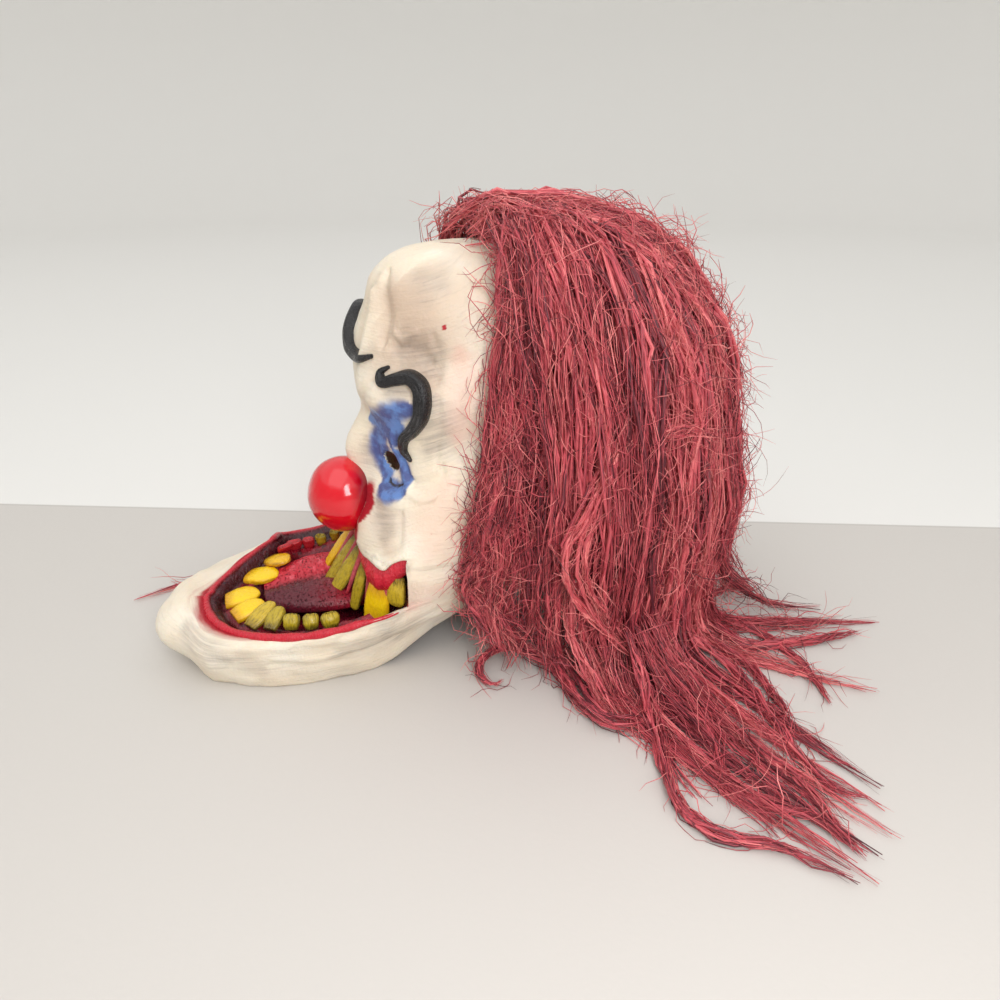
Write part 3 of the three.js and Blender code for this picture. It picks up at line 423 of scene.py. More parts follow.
@dataclass(frozen=True)
class HeadForm:
    """The outer face of the latex shell as a function of column and height.

    Columns -1 to 1 run over the front between the corners of the mouth, and columns
    out to -2 and 2 meet at the middle of the back.
    """

    height: float = 337
    width: float = 180
    jaw_reach: float = 318
    jaw_sway: float = 10
    face_reach: float = 128
    skull_reach: float = 106
    relief: float = 10
    wall: float = 2.6
    hem_lift: float = 38
    lip_middle: float = 0.1395
    lip_corner: float = 0.203
    lip_bend: float = 3.5
    upper_middle: float = 0.305
    upper_lobe: float = 0.262
    upper_corner: float = 0.320
    sections: Table = Table(
        "height middle half jaw face back corner pinch square",
        (
            (0.000, -0.535, 0.85, 0.931, 0, 0.68, -0.875, 0.40, 2.0),
            (0.036, -0.541, 0.91, 0.969, 0, 0.70, -0.875, 0.40, 2.0),
            (0.083, -0.550, 0.97, 1.000, 0, 0.72, -0.875, 0.38, 2.0),
            (0.113, -0.547, 1.01, 0.975, 0, 0.74, -0.875, 0.35, 2.0),
            (0.131, -0.541, 1.05, 0.915, 0, 0.75, -0.875, 0.33, 2.2),
            (0.142, -0.528, 1.07, 0.845, 0, 0.76, -0.875, 0.31, 2.2),
            (0.178, -0.490, 1.06, 0.730, 0, 0.78, -0.875, 0.25, 2.2),
            (0.214, -0.440, 1.05, 0.585, 0, 0.80, -0.875, 0.18, 2.1),
            (0.237, -0.402, 1.04, 0, 1.234, 0.82, -0.875, 0.13, 2.1),
            (0.255, -0.374, 1.03, 0, 1.148, 0.83, -0.875, 0.10, 2.2),
            (0.297, -0.314, 1.01, 0, 1.094, 0.86, -0.875, 0.05, 2.2),
            (0.332, -0.270, 1.00, 0, 1.047, 0.88, -0.844, 0.02, 2.3),
            (0.386, -0.204, 0.99, 0, 1.000, 0.92, -0.766, 0, 2.3),
            (0.445, -0.157, 0.99, 0, 0.970, 0.95, -0.672, 0, 2.3),
            (0.519, -0.113, 1.00, 0, 0.953, 0.98, -0.562, 0, 2.3),
            (0.608, -0.069, 1.00, 0, 0.953, 1.00, -0.469, 0, 2.3),
            (0.697, -0.044, 1.00, 0, 0.984, 0.99, -0.390, 0, 2.3),
            (0.786, -0.031, 0.97, 0, 0.969, 0.94, -0.344, 0, 2.3),
            (0.861, -0.031, 0.89, 0, 0.906, 0.85, -0.312, 0, 2.3),
            (0.914, -0.038, 0.77, 0, 0.872, 0.71, -0.297, 0, 2.2),
            (0.956, -0.057, 0.59, 0, 0.785, 0.49, -0.297, 0, 2.1),
            (0.982, -0.082, 0.40, 0, 0.655, 0.23, -0.312, 0, 2.0),
            (0.995, -0.110, 0.20, 0, 0.465, -0.12, -0.320, 0, 2.0),
        ),
    )
    features: Table = Table(
        "x y z wide deep tall lift mirror",
        (
            (0.42, -0.92, 0.690, 0.24, 0.4, 0.040, 0.9, False),
            (-0.42, -0.95, 0.750, 0.24, 0.4, 0.055, 0.4, False),
            (0.12, -0.95, 0.820, 0.06, 0.4, 0.080, -0.35, False),
            (0, -1.0, 0.612, 0.22, 0.4, 0.028, -0.25, False),
            (0, -1.0, 0.515, 0.13, 0.6, 0.062, 2.1, False),
            (0.24, -1.0, 0.400, 0.15, 0.4, 0.050, 0.5, True),
            (0.45, -0.9, 0.500, 0.20, 0.4, 0.042, -1.1, True),
            (0.52, -0.9, 0.440, 0.20, 0.4, 0.016, 0.45, True),
            (0.72, -0.8, 0.400, 0.20, 0.4, 0.070, 0.5, True),
            (0.44, -1.0, 0.330, 0.20, 0.4, 0.048, 0.9, True),
            (0.88, -0.55, 0.585, 0.20, 0.2, 0.050, -0.5, True),
            (0.78, -0.70, 0.760, 0.18, 0.2, 0.050, -0.55, True),
            (0, -2.45, 0.080, 0.40, 0.3, 0.060, 0.3, False),
        ),
    )
    far_lip: Table = Table("column rise", ((0, 0.002), (0.40, 0.037), (0.88, -0.022), (1, 0)))

    def section(self, z: Array) -> dict[str, Array]:
        """The head's horizontal section at a height, read smoothly between the rows.

        Each column is a cubic between its rows whose slope at a row is the harmonic
        mean of the slopes on its two sides, and 0 where they turn round.
        """
        rows = self.sections.column("height")
        share = np.clip(z / self.height, 0, rows[-1])
        i = np.clip(np.searchsorted(rows, share) - 1, 0, len(rows) - 2)
        span = rows[i + 1] - rows[i]
        s = (share - rows[i]) / span

        def value(name: str) -> Array:
            """One column of the table at the height."""
            v = self.sections.column(name)
            steps = np.diff(v) / np.diff(rows)
            before, after = steps[:-1], steps[1:]
            total = np.where(before + after == 0, 1, before + after)
            inner = np.where(before * after <= 0, 0, 2 * before * after / total)
            slope = np.r_[steps[0], inner, steps[-1]]
            low = (2 * s**3 - 3 * s**2 + 1) * v[i] + (s**3 - 2 * s**2 + s) * slope[i] * span
            return low + (3 * s**2 - 2 * s**3) * v[i + 1] + (s**3 - s**2) * slope[i + 1] * span

        middle = value("middle") * self.jaw_reach
        return {
            "middle": middle,
            "half": value("half") * self.width / 2,
            "front": middle + value("jaw") * self.jaw_reach + value("face") * self.face_reach,
            "back": value("back") * self.skull_reach - middle,
            "corner": value("corner") * self.face_reach,
            "pinch": value("pinch"),
            "square": value("square"),
        }

    def outline(self, section: dict[str, Array], turn: Array, z: Array) -> Array:
        """The place on a section at a turn from straight ahead, towards +X.

        x is the half width times sin^p and y the middle less the reach times cos^p,
        with p = 2 / square; the back narrows to the neck and the jaw sways aside.
        """
        c, s = np.cos(turn), np.sin(turn)
        power = 2 / section["square"]
        narrow = 1 - section["pinch"] * ease(0, 0.6, -c)
        reach = np.where(c > 0, section["front"], section["back"])
        y = section["middle"] - reach * signed_power(c, power)
        low = np.clip(z / (self.lip_middle * self.height), 0, 1)
        sway = self.jaw_sway * low * ease(-0.38 * self.jaw_reach, -0.72 * self.jaw_reach, y)
        x = section["half"] * signed_power(s, power) * narrow - sway
        return np.stack(np.broadcast_arrays(x, y, z), -1)

    def turn_at_depth(self, section: dict[str, Array], y: Array) -> Array:
        """The turn at which a section's outline has a given y."""
        ahead = section["middle"] - y
        reach = np.where(ahead > 0, section["front"], section["back"])
        return np.arccos(np.clip(signed_power(ahead / reach, section["square"] / 2), -1, 1))

    def column_turn(self, section: dict[str, Array], column: Array) -> Array:
        """The turn of a column on a section."""
        corner = self.turn_at_depth(section, section["corner"])
        size = np.abs(column)
        turn = np.where(size <= 1, size * corner, mix(corner, np.pi, size - 1))
        return np.sign(column) * turn

    def column_at(self, turn: Array, z: Array) -> Array:
        """The column through a turn, in degrees, at a height."""
        section = self.section(z)
        size = np.radians(np.abs(turn))
        corner = self.column_turn(section, np.ones_like(size))
        past = 1 + (size - corner) / (np.pi - corner)
        return np.sign(turn) * np.where(size <= corner, size / corner, past)

    def bare(self, column: Array, z: Array) -> Array:
        """The place on the head before its features swell it."""
        section = self.section(z)
        return self.outline(section, self.column_turn(section, column), z)

    def swell(self, points: Array) -> Array:
        """How far the features push the skin out: a sum of bells round their middles."""
        push = np.zeros(points.shape[:-1])
        x = points[..., 0] / (self.width / 2)
        y = points[..., 1] / self.face_reach
        z = points[..., 2] / self.height
        for f in self.features.records():
            for side in (1, -1) if f["mirror"] else (1,):
                d = ((x - side * f["x"]) / f["wide"]) ** 2 + ((y - f["y"]) / f["deep"]) ** 2
                push += f["lift"] * self.relief * np.exp(-(d + ((z - f["z"]) / f["tall"]) ** 2) / 2)
        return push

    def skin(self, column: Array, z: Array, out: float = 0) -> tuple[Array, Array]:
        """The skin's outer face and the direction that it faces.

        The direction is the cross product of a step along the columns and a step up,
        and the place is the bare one moved along it by the swell.

        Args:
            column, z: where on the head.
            out: how far to stand off the skin.

        Returns:
            The places and the directions.
        """
        column, z = np.broadcast_arrays(np.asarray(column, float), np.asarray(z, float))
        step = 0.01
        across = self.bare(column + step, z) - self.bare(column - step, z)
        rise = self.height * step
        up = self.bare(column, z + rise) - self.bare(column, z - rise)
        normal = unit(np.cross(across, up))
        point = self.bare(column, z)
        return point + normal * (self.swell(point) + out)[..., None], normal

    def lower_lip(self, column: Array) -> Array:
        """The height of the lower lip: it climbs to the corners, and the far side waves."""
        size = np.minimum(np.abs(column), 1)
        level = mix(self.lip_middle, self.lip_corner, size**self.lip_bend)
        knots, rises = self.far_lip.column("column"), self.far_lip.column("rise")
        i = np.clip(np.searchsorted(knots, size) - 1, 0, len(knots) - 2)
        eased = ease(0, 1, (size - knots[i]) / (knots[i + 1] - knots[i]))
        wave = mix(rises[i], rises[i + 1], eased)
        return self.height * (level + np.where(column > 0, 0, wave))

    def upper_lip(self, column: Array) -> Array:
        """The height of the upper lip, which hangs in a lobe on each side of the nose."""
        size = np.abs(column)
        inner = mix(self.upper_middle, self.upper_lobe, ease(0.12, 0.42, size))
        return self.height * mix(inner, self.upper_corner, ease(0.42, 1, size))

    def hem(self, column: Array) -> Array:
        """The hem's height: on the table under the jaw and at the nape, lifted between."""
        y = self.bare(column, np.zeros_like(column))[..., 1]
        rising = ease(-0.48 * self.jaw_reach, -0.14 * self.jaw_reach, y)
        falling = ease(0.1 * self.skull_reach, 0.6 * self.skull_reach, y)
        return np.maximum(self.hem_lift * rising * (1 - falling) - 1.5, 0.0)


# Node trees


class NodeSet:
    """Short calls that add nodes to a tree and wire them."""

    def __init__(self, tree: bpy.types.NodeTree) -> None:
        """Starts on an empty tree."""
        self.tree = tree
        tree.nodes.clear()

    def add(self, kind: str, values: Optional[dict] = None, **settings) -> bpy.types.Node:
        """Adds a node.

        Args:
            kind: the node's type, without the word ShaderNode.
            values: what goes into its inputs, sockets or plain values, by name or number.
            settings: its own properties.

        Returns:
            The node.
        """
        node = self.tree.nodes.new(kind if kind.startswith("NodeGroup") else "ShaderNode" + kind)
        for key, value in settings.items():
            setattr(node, key, value)
        for key, value in (values or {}).items():
            self.feed(node.inputs[key], value)
        return node

    def feed(self, socket: bpy.types.NodeSocket, value) -> None:
        """Wires a socket into an input, or sets its plain value."""
        if isinstance(value, bpy.types.NodeSocket):
            self.tree.links.new(value, socket)
        elif isinstance(value, np.ndarray):
            room = len(socket.default_value)
            socket.default_value = (*value, 1.0)[:room]
        else:
            socket.default_value = value

    def math(self, kind: str, a, b=0.0, clamp: bool = False) -> bpy.types.NodeSocket:
        """A sum of two values."""
        node = self.add("Math", {0: a, 1: b}, operation=kind, use_clamp=clamp)
        return node.outputs[0]

    def mixed(self, share, a, b, kind: str = "MIX") -> bpy.types.NodeSocket:
        """Two colours mixed by a share."""
        node = self.add("Mix", {0: share, 6: a, 7: b}, data_type="RGBA", blend_type=kind)
        return node.outputs[2]

    def step(self, value, low, high, start=0.0, end=1.0) -> bpy.types.NodeSocket:
        """A value from low to high as a smooth step from start to end."""
        values = {"Value": value, "From Min": low, "From Max": high, "To Min": start, "To Max": end}
        return self.add("MapRange", values, interpolation_type="SMOOTHSTEP").outputs[0]

    def noise(self, place, size: float, detail: float = 3.0, rough: float = 0.55, twist: float = 0.0):
        """Noise whose grains are about size apart, in the place's own units."""
        values = {"Vector": place, "Scale": 1 / size, "Detail": detail, "Roughness": rough}
        return self.add("TexNoise", values | {"Distortion": twist}).outputs[0]

    def stretched(self, place, sizes: Sequence[float]) -> bpy.types.NodeSocket:
        """A place counted in three grain sizes, so that noise on it comes out stretched."""
        values = {0: place, 1: np.array([1 / size for size in sizes])}
        return self.add("VectorMath", values, operation="MULTIPLY").outputs[0]

    def painted(self, name: str) -> bpy.types.NodeSocket:
        """A number painted on the mesh."""
        return self.add("Attribute", attribute_name=name).outputs["Fac"]

    def painted_vector(self, name: str) -> bpy.types.NodeSocket:
        """Three numbers painted on the mesh."""
        return self.add("Attribute", attribute_name=name).outputs["Vector"]

    def split(self, vector) -> list[bpy.types.NodeSocket]:
        """The three numbers of a vector."""
        return list(self.add("SeparateXYZ", {0: vector}).outputs)

    def place(self) -> bpy.types.NodeSocket:
        """The place on the object, in metres."""
        return self.add("TexCoord").outputs["Object"]

    def group(self, kind: "Effect", **values) -> bpy.types.Node:
        """An effect's group placed in this tree with its own values."""
        node = self.tree.nodes.new("ShaderNodeGroup")
        node.node_tree = effect(kind)
        for key, value in values.items():
            self.feed(node.inputs[key], value)
        return node

    def shader(self, height, depth: float, **values) -> None:
        """The finish's own shader, with a bump, wired to the material's output.

        Args:
            height: what drives the bump, or None for a plain surface.
            depth: how deep the bump is, in metres.
            values: the shader's inputs, with _ for a space.
        """
        inputs = {key.replace("_", " "): value for key, value in values.items()}
        if height is not None:
            bump = self.add("Bump", {"Height": height, "Strength": 1.0, "Distance": depth})
            inputs["Normal"] = bump.outputs[0]
        shader = self.add("BsdfPrincipled", inputs)
        self.add("OutputMaterial", {"Surface": shader.outputs[0]})


class Effect(Enum):
    """The effects that several finishes share, each one node group."""

    BRUSHED = "brushed edge"
    MOTTLED = "mottled patches"
    STROKES = "fine strokes"
    GRAIN = "cast grain"


def new_group(name: str, inputs: dict[str, str], outputs: dict[str, str]) -> tuple:
    """An empty node group with its sockets.

    Args:
        name: the group's name.
        inputs, outputs: the sockets' names and their types.

    Returns:
        The group, a NodeSet on it and its input node.
    """
    tree = bpy.data.node_groups.new(name, "ShaderNodeTree")
    for key, kind in inputs.items():
        tree.interface.new_socket(key, in_out="INPUT", socket_type="NodeSocket" + kind)
    for key, kind in outputs.items():
        tree.interface.new_socket(key, in_out="OUTPUT", socket_type="NodeSocket" + kind)
    nodes = NodeSet(tree)
    return tree, nodes, nodes.add("NodeGroupInput")


def brushed_group() -> bpy.types.NodeTree:
    """A painted mask with a ragged, brushy edge: smooth step of mask + ragged noise."""
    inputs = {"Mask": "Float", "Place": "Vector", "Scale": "Float", "Ragged": "Float"}
    tree, nodes, start = new_group(Effect.BRUSHED.value, inputs, {"Mask": "Float"})
    values = {"Vector": start.outputs["Place"], "Scale": start.outputs["Scale"], "Detail": 4.0}
    noise = nodes.add("TexNoise", values).outputs[0]
    offset = nodes.math("MULTIPLY", nodes.math("SUBTRACT", noise, 0.5), start.outputs["Ragged"])
    mask = nodes.step(nodes.math("ADD", start.outputs["Mask"], offset), 0.25, 0.75)
    nodes.add("NodeGroupOutput", {0: mask})
    return tree


def mottled_group() -> bpy.types.NodeTree:
    """Patches between two colours, where noise passes from Low to High."""
    inputs = {"Place": "Vector", "Scale": "Float", "Low": "Float", "High": "Float"}
    inputs |= {"Base": "Color", "Patch": "Color"}
    tree, nodes, start = new_group(Effect.MOTTLED.value, inputs, {"Color": "Color", "Mask": "Float"})
    values = {"Vector": start.outputs["Place"], "Scale": start.outputs["Scale"], "Detail": 5.0}
    noise = nodes.add("TexNoise", values).outputs[0]
    mask = nodes.step(noise, start.outputs["Low"], start.outputs["High"])
    colour = nodes.mixed(mask, start.outputs["Base"], start.outputs["Patch"])
    nodes.add("NodeGroupOutput", {0: colour, 1: mask})
    return tree


def strokes_group() -> bpy.types.NodeTree:
    """Fine brush strokes: noise on places stretched along the stroke, cut to thin lines."""
    inputs = {"Place": "Vector", "Low": "Float", "High": "Float"}
    tree, nodes, start = new_group(Effect.STROKES.value, inputs, {"Mask": "Float", "Height": "Float"})
    values = {"Vector": start.outputs["Place"], "Scale": 1.0, "Detail": 3.0, "Roughness": 0.6}
    noise = nodes.add("TexNoise", values).outputs[0]
    mask = nodes.step(noise, start.outputs["Low"], start.outputs["High"])
    nodes.add("NodeGroupOutput", {0: mask, 1: noise})
    return tree


def grain_group() -> bpy.types.NodeTree:
    """The grain of a cast and painted surface, with its height and its roughness."""
    inputs = {"Place": "Vector", "Scale": "Float", "Smooth": "Float", "Rough": "Float"}
    tree, nodes, start = new_group(Effect.GRAIN.value, inputs, {"Height": "Float", "Roughness": "Float"})
    values = {"Vector": start.outputs["Place"], "Scale": start.outputs["Scale"], "Detail": 6.0}
    noise = nodes.add("TexNoise", values).outputs[0]
    rough = nodes.step(noise, 0.3, 0.7, start.outputs["Smooth"], start.outputs["Rough"])
    nodes.add("NodeGroupOutput", {0: noise, 1: rough})
    return tree


GROUP_MAKERS = {
    Effect.BRUSHED: brushed_group,
    Effect.MOTTLED: mottled_group,
    Effect.STROKES: strokes_group,
    Effect.GRAIN: grain_group,
}


def effect(kind: Effect) -> bpy.types.NodeTree:
    """The node group of an effect, built when it is first asked for."""
    return bpy.data.node_groups.get(kind.value) or GROUP_MAKERS[kind]()


# Finishes


class Slot(Enum):
    """The record's material slots."""

    LATEX = "latex"
    NOSE_RED = "nose_red"
    BROW_BLACK = "brow_black"
    MOUTH_RED = "mouth_red"
    TONGUE_RED = "tongue_red"
    TOOTH_YELLOW = "tooth_yellow"
    HAIR = "hair"


class Finish:
    """What a piece is made of and painted with."""

    name: str
    slot: Slot

    def material(self) -> bpy.types.Material:
        """The finish's material, built when it is first asked for."""
        made = bpy.data.materials.get(self.name)
        if made is None:
            made = bpy.data.materials.new(self.name)
            made.use_nodes = True
            self.build(NodeSet(made.node_tree))
        return made

    def build(self, nodes: NodeSet) -> None:
        """Adds the finish's nodes."""
        raise NotImplementedError


@dataclass(frozen=True)
class PaintedLatex(Finish):
    """Cream latex under thin washes: blue round the eyes, tan in the hollows, grey painted shade in them.
    """

    name: str = "painted latex"
    slot: Slot = Slot.LATEX
    cream: Array = paint_colour(236, 222, 200)
    pale: Array = paint_colour(243, 234, 217)
    tan: Array = paint_colour(198, 172, 150)
    # grey is the colour of the painted shade in the hollows and of the brush strokes
    grey: Array = paint_colour(120, 108, 104)
    blue: Array = paint_colour(74, 124, 196)
    deep_blue: Array = paint_colour(26, 62, 138)
    pink: Array = paint_colour(226, 150, 140)
    lip: Array = paint_colour(172, 20, 38)
    # The dark ink colour serves drawn lines and the painted shade along the creases
    ink: Array = paint_colour(52, 44, 44)

    def build(self, nodes: NodeSet) -> None:
        """Washes and painted shade mixed over the cream by the painted masks, with strokes and pores."""
        place = nodes.place()
        grain = nodes.painted_vector("grain")
        blue, shade, pink = nodes.split(nodes.painted_vector("wash"))
        red, ink, tan = nodes.split(nodes.painted_vector("lines"))
        look = {"Scale": 22.0, "Low": 0.35, "High": 0.7, "Base": self.cream, "Patch": self.pale}
        patches = nodes.group(Effect.MOTTLED, Place=place, **look)
        lines = nodes.group(Effect.STROKES, Place=grain, Low=0.52, High=0.72)

        def brushed(mask, size: float, ragged: float, over=grain):
            """A painted mask with a brushy edge."""
            brush = nodes.group(Effect.BRUSHED, Mask=mask, Place=over, Scale=size, Ragged=ragged)
            return brush.outputs[0]

        uneven = nodes.step(nodes.noise(grain, 1.6, 4.0), 0.3, 0.7, 0.45, 1.25)
        colour = nodes.mixed(nodes.math("MULTIPLY", tan, 0.85), patches.outputs["Color"], self.tan)
        # Grey painted shade in the hollows, broken by noise
        hollow = nodes.math("MULTIPLY", nodes.math("MULTIPLY", shade, uneven), 0.8, True)
        colour = nodes.mixed(hollow, colour, self.grey)
        # Grey brush strokes everywhere, heavier where the painted shade lies
        stroke = nodes.math("MULTIPLY", lines.outputs["Mask"], nodes.math("ADD", shade, 0.14))
        colour = nodes.mixed(nodes.math("MULTIPLY", stroke, 0.6, True), colour, self.grey)
        colour = nodes.mixed(nodes.math("MULTIPLY", pink, 0.8), colour, self.pink)
        blues = nodes.mixed(nodes.step(nodes.noise(place, 0.012), 0.4, 0.62), self.deep_blue, self.blue)
        airbrush = nodes.step(brushed(blue, 70.0, 0.25, place), 0.0, 1.0, 0.0, 0.92)
        colour = nodes.mixed(airbrush, colour, blues)
        colour = nodes.mixed(brushed(red, 0.9, 0.7), colour, self.lip)
        # Dark ink: the drawn eyelid line, and painted shade along the dented creases
        colour = nodes.mixed(brushed(ink, 1.4, 0.8), colour, self.ink)
        skin = nodes.group(Effect.GRAIN, Place=place, Scale=420.0, Smooth=0.42, Rough=0.62)
        height = nodes.math("ADD", skin.outputs["Height"], lines.outputs["Height"])
        nodes.shader(
            height,
            0.0005,
            Base_Color=colour,
            Roughness=skin.outputs["Roughness"],
            Subsurface_Weight=0.12,
            Subsurface_Radius=np.array([0.004, 0.002, 0.001]),
            Subsurface_Scale=1.0,
        )


@dataclass(frozen=True)
class GlossyBall(Finish):
    """Bright red paint under gloss, darker and duller where the ball meets the face: painted shade."""

    name: str = "glossy red ball"
    slot: Slot = Slot.NOSE_RED
    red: Array = paint_colour(216, 14, 34)
    # deep is the red of the painted shade where the ball meets the face
    deep: Array = paint_colour(120, 6, 24)

    def build(self, nodes: NodeSet) -> None:
        """Two reds mixed by the seat's shade and by large patches."""
        place = nodes.place()
        patches = nodes.noise(place, 0.03, 2.0)
        # The painted shade at the seat, with some random darker patches
        shade = nodes.math("ADD", nodes.painted("shade"), nodes.step(patches, 0.5, 0.9, 0.0, 0.25), True)
        grain = nodes.group(Effect.GRAIN, Place=place, Scale=160.0, Smooth=0.09, Rough=0.2)
        nodes.shader(
            grain.outputs["Height"],
            0.0002,
            Base_Color=nodes.mixed(shade, self.red, self.deep),
            Roughness=grain.outputs["Roughness"],
            Coat_Weight=0.5,
            Coat_Roughness=0.06,
        )


@dataclass(frozen=True)
class BrowPaint(Finish):
    """Satin black with grey along its raised lines: partly dry-brushing, partly painted sheen on top."""

    name: str = "satin black brow"
    slot: Slot = Slot.BROW_BLACK
    black: Array = paint_colour(20, 19, 22)
    # grey serves the dry-brushing and the painted sheen on the tops
    grey: Array = paint_colour(120, 118, 120)

    def build(self, nodes: NodeSet) -> None:
        """Grey laid over the black along the stroke where the mesh carries wear and painted sheen."""
        grain = nodes.stretched(nodes.painted_vector("grain"), (0.7, 0.7, 7.0))
        lines = nodes.group(Effect.STROKES, Place=grain, Low=0.45, High=0.75)
        worn = nodes.math("MULTIPLY", lines.outputs["Mask"], nodes.painted("worn"), True)
        skin = nodes.group(Effect.GRAIN, Place=nodes.place(), Scale=300.0, Smooth=0.2, Rough=0.42)
        height = nodes.math("ADD", lines.outputs["Height"], skin.outputs["Height"])
        nodes.shader(
            height,
            0.0006,
            Base_Color=nodes.mixed(worn, self.black, self.grey),
            Roughness=skin.outputs["Roughness"],
        )


@dataclass(frozen=True)
class MouthPaint(Finish):
    """Wet-looking reds of the mouth: the mesh carries the colour, painted shade included, broken by
    brushwork.
    """

    name: str = "mouth red"
    slot: Slot = Slot.MOUTH_RED
    dark: Array = paint_colour(38, 6, 16)
    pale: Array = paint_colour(226, 92, 104)

    def build(self, nodes: NodeSet) -> None:
        """The painted tone with dark blotches, partly painted shade, and thin pale scuffs, partly painted
        sheen.
        """
        place = nodes.place()
        tone = nodes.painted_vector("tone")
        dark, scuff_and_sheen, _ = nodes.split(nodes.painted_vector("wear"))
        look = {"Scale": 190.0, "Low": 0.5, "High": 0.68, "Base": tone, "Patch": self.dark}
        blotch = nodes.group(Effect.MOTTLED, Place=place, **look)
        colour = nodes.mixed(dark, tone, blotch.outputs["Color"])
        streaks = nodes.stretched(place, (0.004, 0.0012, 0.003))
        lines = nodes.group(Effect.STROKES, Place=streaks, Low=0.56, High=0.7)
        # Pale streaks: partly scuffs, partly painted sheen on the bead, the fold ridges, the gum and the
        # ribs
        colour = nodes.mixed(nodes.math("MULTIPLY", lines.outputs["Mask"], scuff_and_sheen, True), colour, self.pale)
        skin = nodes.group(Effect.GRAIN, Place=place, Scale=350.0, Smooth=0.16, Rough=0.4)
        height = nodes.math("ADD", skin.outputs["Height"], lines.outputs["Height"])
        nodes.shader(height, 0.0007, Base_Color=colour, Roughness=skin.outputs["Roughness"])


@dataclass(frozen=True)
class TonguePaint(Finish):
    """Bright mottled red with dark pits on the far lobe, dark maroon on the near one."""

    name: str = "tongue red"
    slot: Slot = Slot.TONGUE_RED
    pit: Array = paint_colour(60, 8, 20)
    pink: Array = paint_colour(236, 96, 110)

    def build(self, nodes: NodeSet) -> None:
        """Pink patches and dark pits over the painted tone."""
        place = nodes.place()
        tone = nodes.painted_vector("tone")
        bright = nodes.painted("bright")
        look = {"Scale": 150.0, "Low": 0.52, "High": 0.7, "Base": tone, "Patch": self.pink}
        patches = nodes.group(Effect.MOTTLED, Place=place, **look)
        colour = nodes.mixed(bright, tone, patches.outputs["Color"])
        pits = nodes.step(nodes.noise(place, 0.0022, 4.0, 0.7), 0.56, 0.66)
        colour = nodes.mixed(nodes.math("MULTIPLY", pits, 0.75), colour, self.pit)
        skin = nodes.group(Effect.GRAIN, Place=place, Scale=420.0, Smooth=0.22, Rough=0.5)
        height = nodes.math("SUBTRACT", skin.outputs["Height"], pits)
        nodes.shader(height, 0.0008, Base_Color=colour, Roughness=skin.outputs["Roughness"])


@dataclass(frozen=True)
class ToothPaint(Finish):
    """Yellow teeth with olive and brown strokes rubbed into them."""

    name: str = "tooth yellow"
    slot: Slot = Slot.TOOTH_YELLOW
    stain: Array = paint_colour(58, 42, 12)

    def build(self, nodes: NodeSet) -> None:
        """Strokes of stain along the tooth, as strong as the mesh is painted."""
        grain = nodes.stretched(nodes.painted_vector("grain"), (1.1, 1.1, 6.0))
        tone = nodes.painted_vector("tone")
        lines = nodes.group(Effect.STROKES, Place=grain, Low=0.46, High=0.66)
        stained = nodes.math("MULTIPLY", lines.outputs["Mask"], nodes.painted("stain"), True)
        skin = nodes.group(Effect.GRAIN, Place=nodes.place(), Scale=300.0, Smooth=0.16, Rough=0.38)
        height = nodes.math("SUBTRACT", skin.outputs["Height"], stained)
        nodes.shader(
            height,
            0.0004,
            Base_Color=nodes.mixed(stained, tone, self.stain),
            Roughness=skin.outputs["Roughness"],
        )


@dataclass(frozen=True)
class DyedHair(Finish):
    """Crimson fibre: nearly black in the depth, pink where the light runs along it."""

    name: str = "crimson hair"
    slot: Slot = Slot.HAIR
    root: Array = paint_colour(82, 26, 38)
    body: Array = paint_colour(214, 84, 96)
    light: Array = paint_colour(255, 150, 146)

    def build(self, nodes: NodeSet) -> None:
        """Three reds by the painted tint, broken into fibres along the strand."""
        grain = nodes.stretched(nodes.painted_vector("grain"), (0.45, 0.45, 22.0))
        lines = nodes.group(Effect.STROKES, Place=grain, Low=0.36, High=0.66)
        wander = nodes.math("MULTIPLY", nodes.math("SUBTRACT", lines.outputs["Mask"], 0.5), 0.55)
        tint = nodes.math("ADD", nodes.painted("tint"), wander, True)
        colour = nodes.mixed(nodes.step(tint, 0.0, 0.5), self.root, self.body)
        colour = nodes.mixed(nodes.step(tint, 0.5, 1.0), colour, self.light)
        nodes.shader(
            lines.outputs["Height"],
            0.0006,
            Base_Color=colour,
            Roughness=nodes.step(lines.outputs["Height"], 0.3, 0.7, 0.34, 0.52),
            Specular_IOR_Level=0.6,
        )


@dataclass(frozen=True)
class PaleGround(Finish):
    """The pale table, and the paler ground past its far edge."""

    name: str = "pale ground"
    table: Array = paint_colour(203, 199, 194)
    beyond: Array = paint_colour(231, 230, 227)
    seam: Array = paint_colour(178, 173, 168)
    edge: tuple = (0.0, 0.0, 0.0)

    def build(self, nodes: NodeSet) -> None:
        """The colour changes across the line a x + b y = c on the ground."""
        place = nodes.place()
        x, y, _ = nodes.split(place)
        a, b, c = self.edge
        across = nodes.math("ADD", nodes.math("MULTIPLY", x, a), nodes.math("MULTIPLY", y, b))
        across = nodes.math("SUBTRACT", across, c)
        colour = nodes.mixed(nodes.step(across, -0.001, 0.001), self.table, self.beyond)
        line = nodes.step(nodes.math("ABSOLUTE", across), 0.0005, 0.003, 0.6, 0.0)
        colour = nodes.mixed(line, colour, self.seam)
        grain = nodes.noise(place, 0.004, 3.0)
        nodes.shader(grain, 0.0001, Base_Color=colour, Roughness=nodes.step(grain, 0.3, 0.7, 0.5, 0.6))


# The latex shell


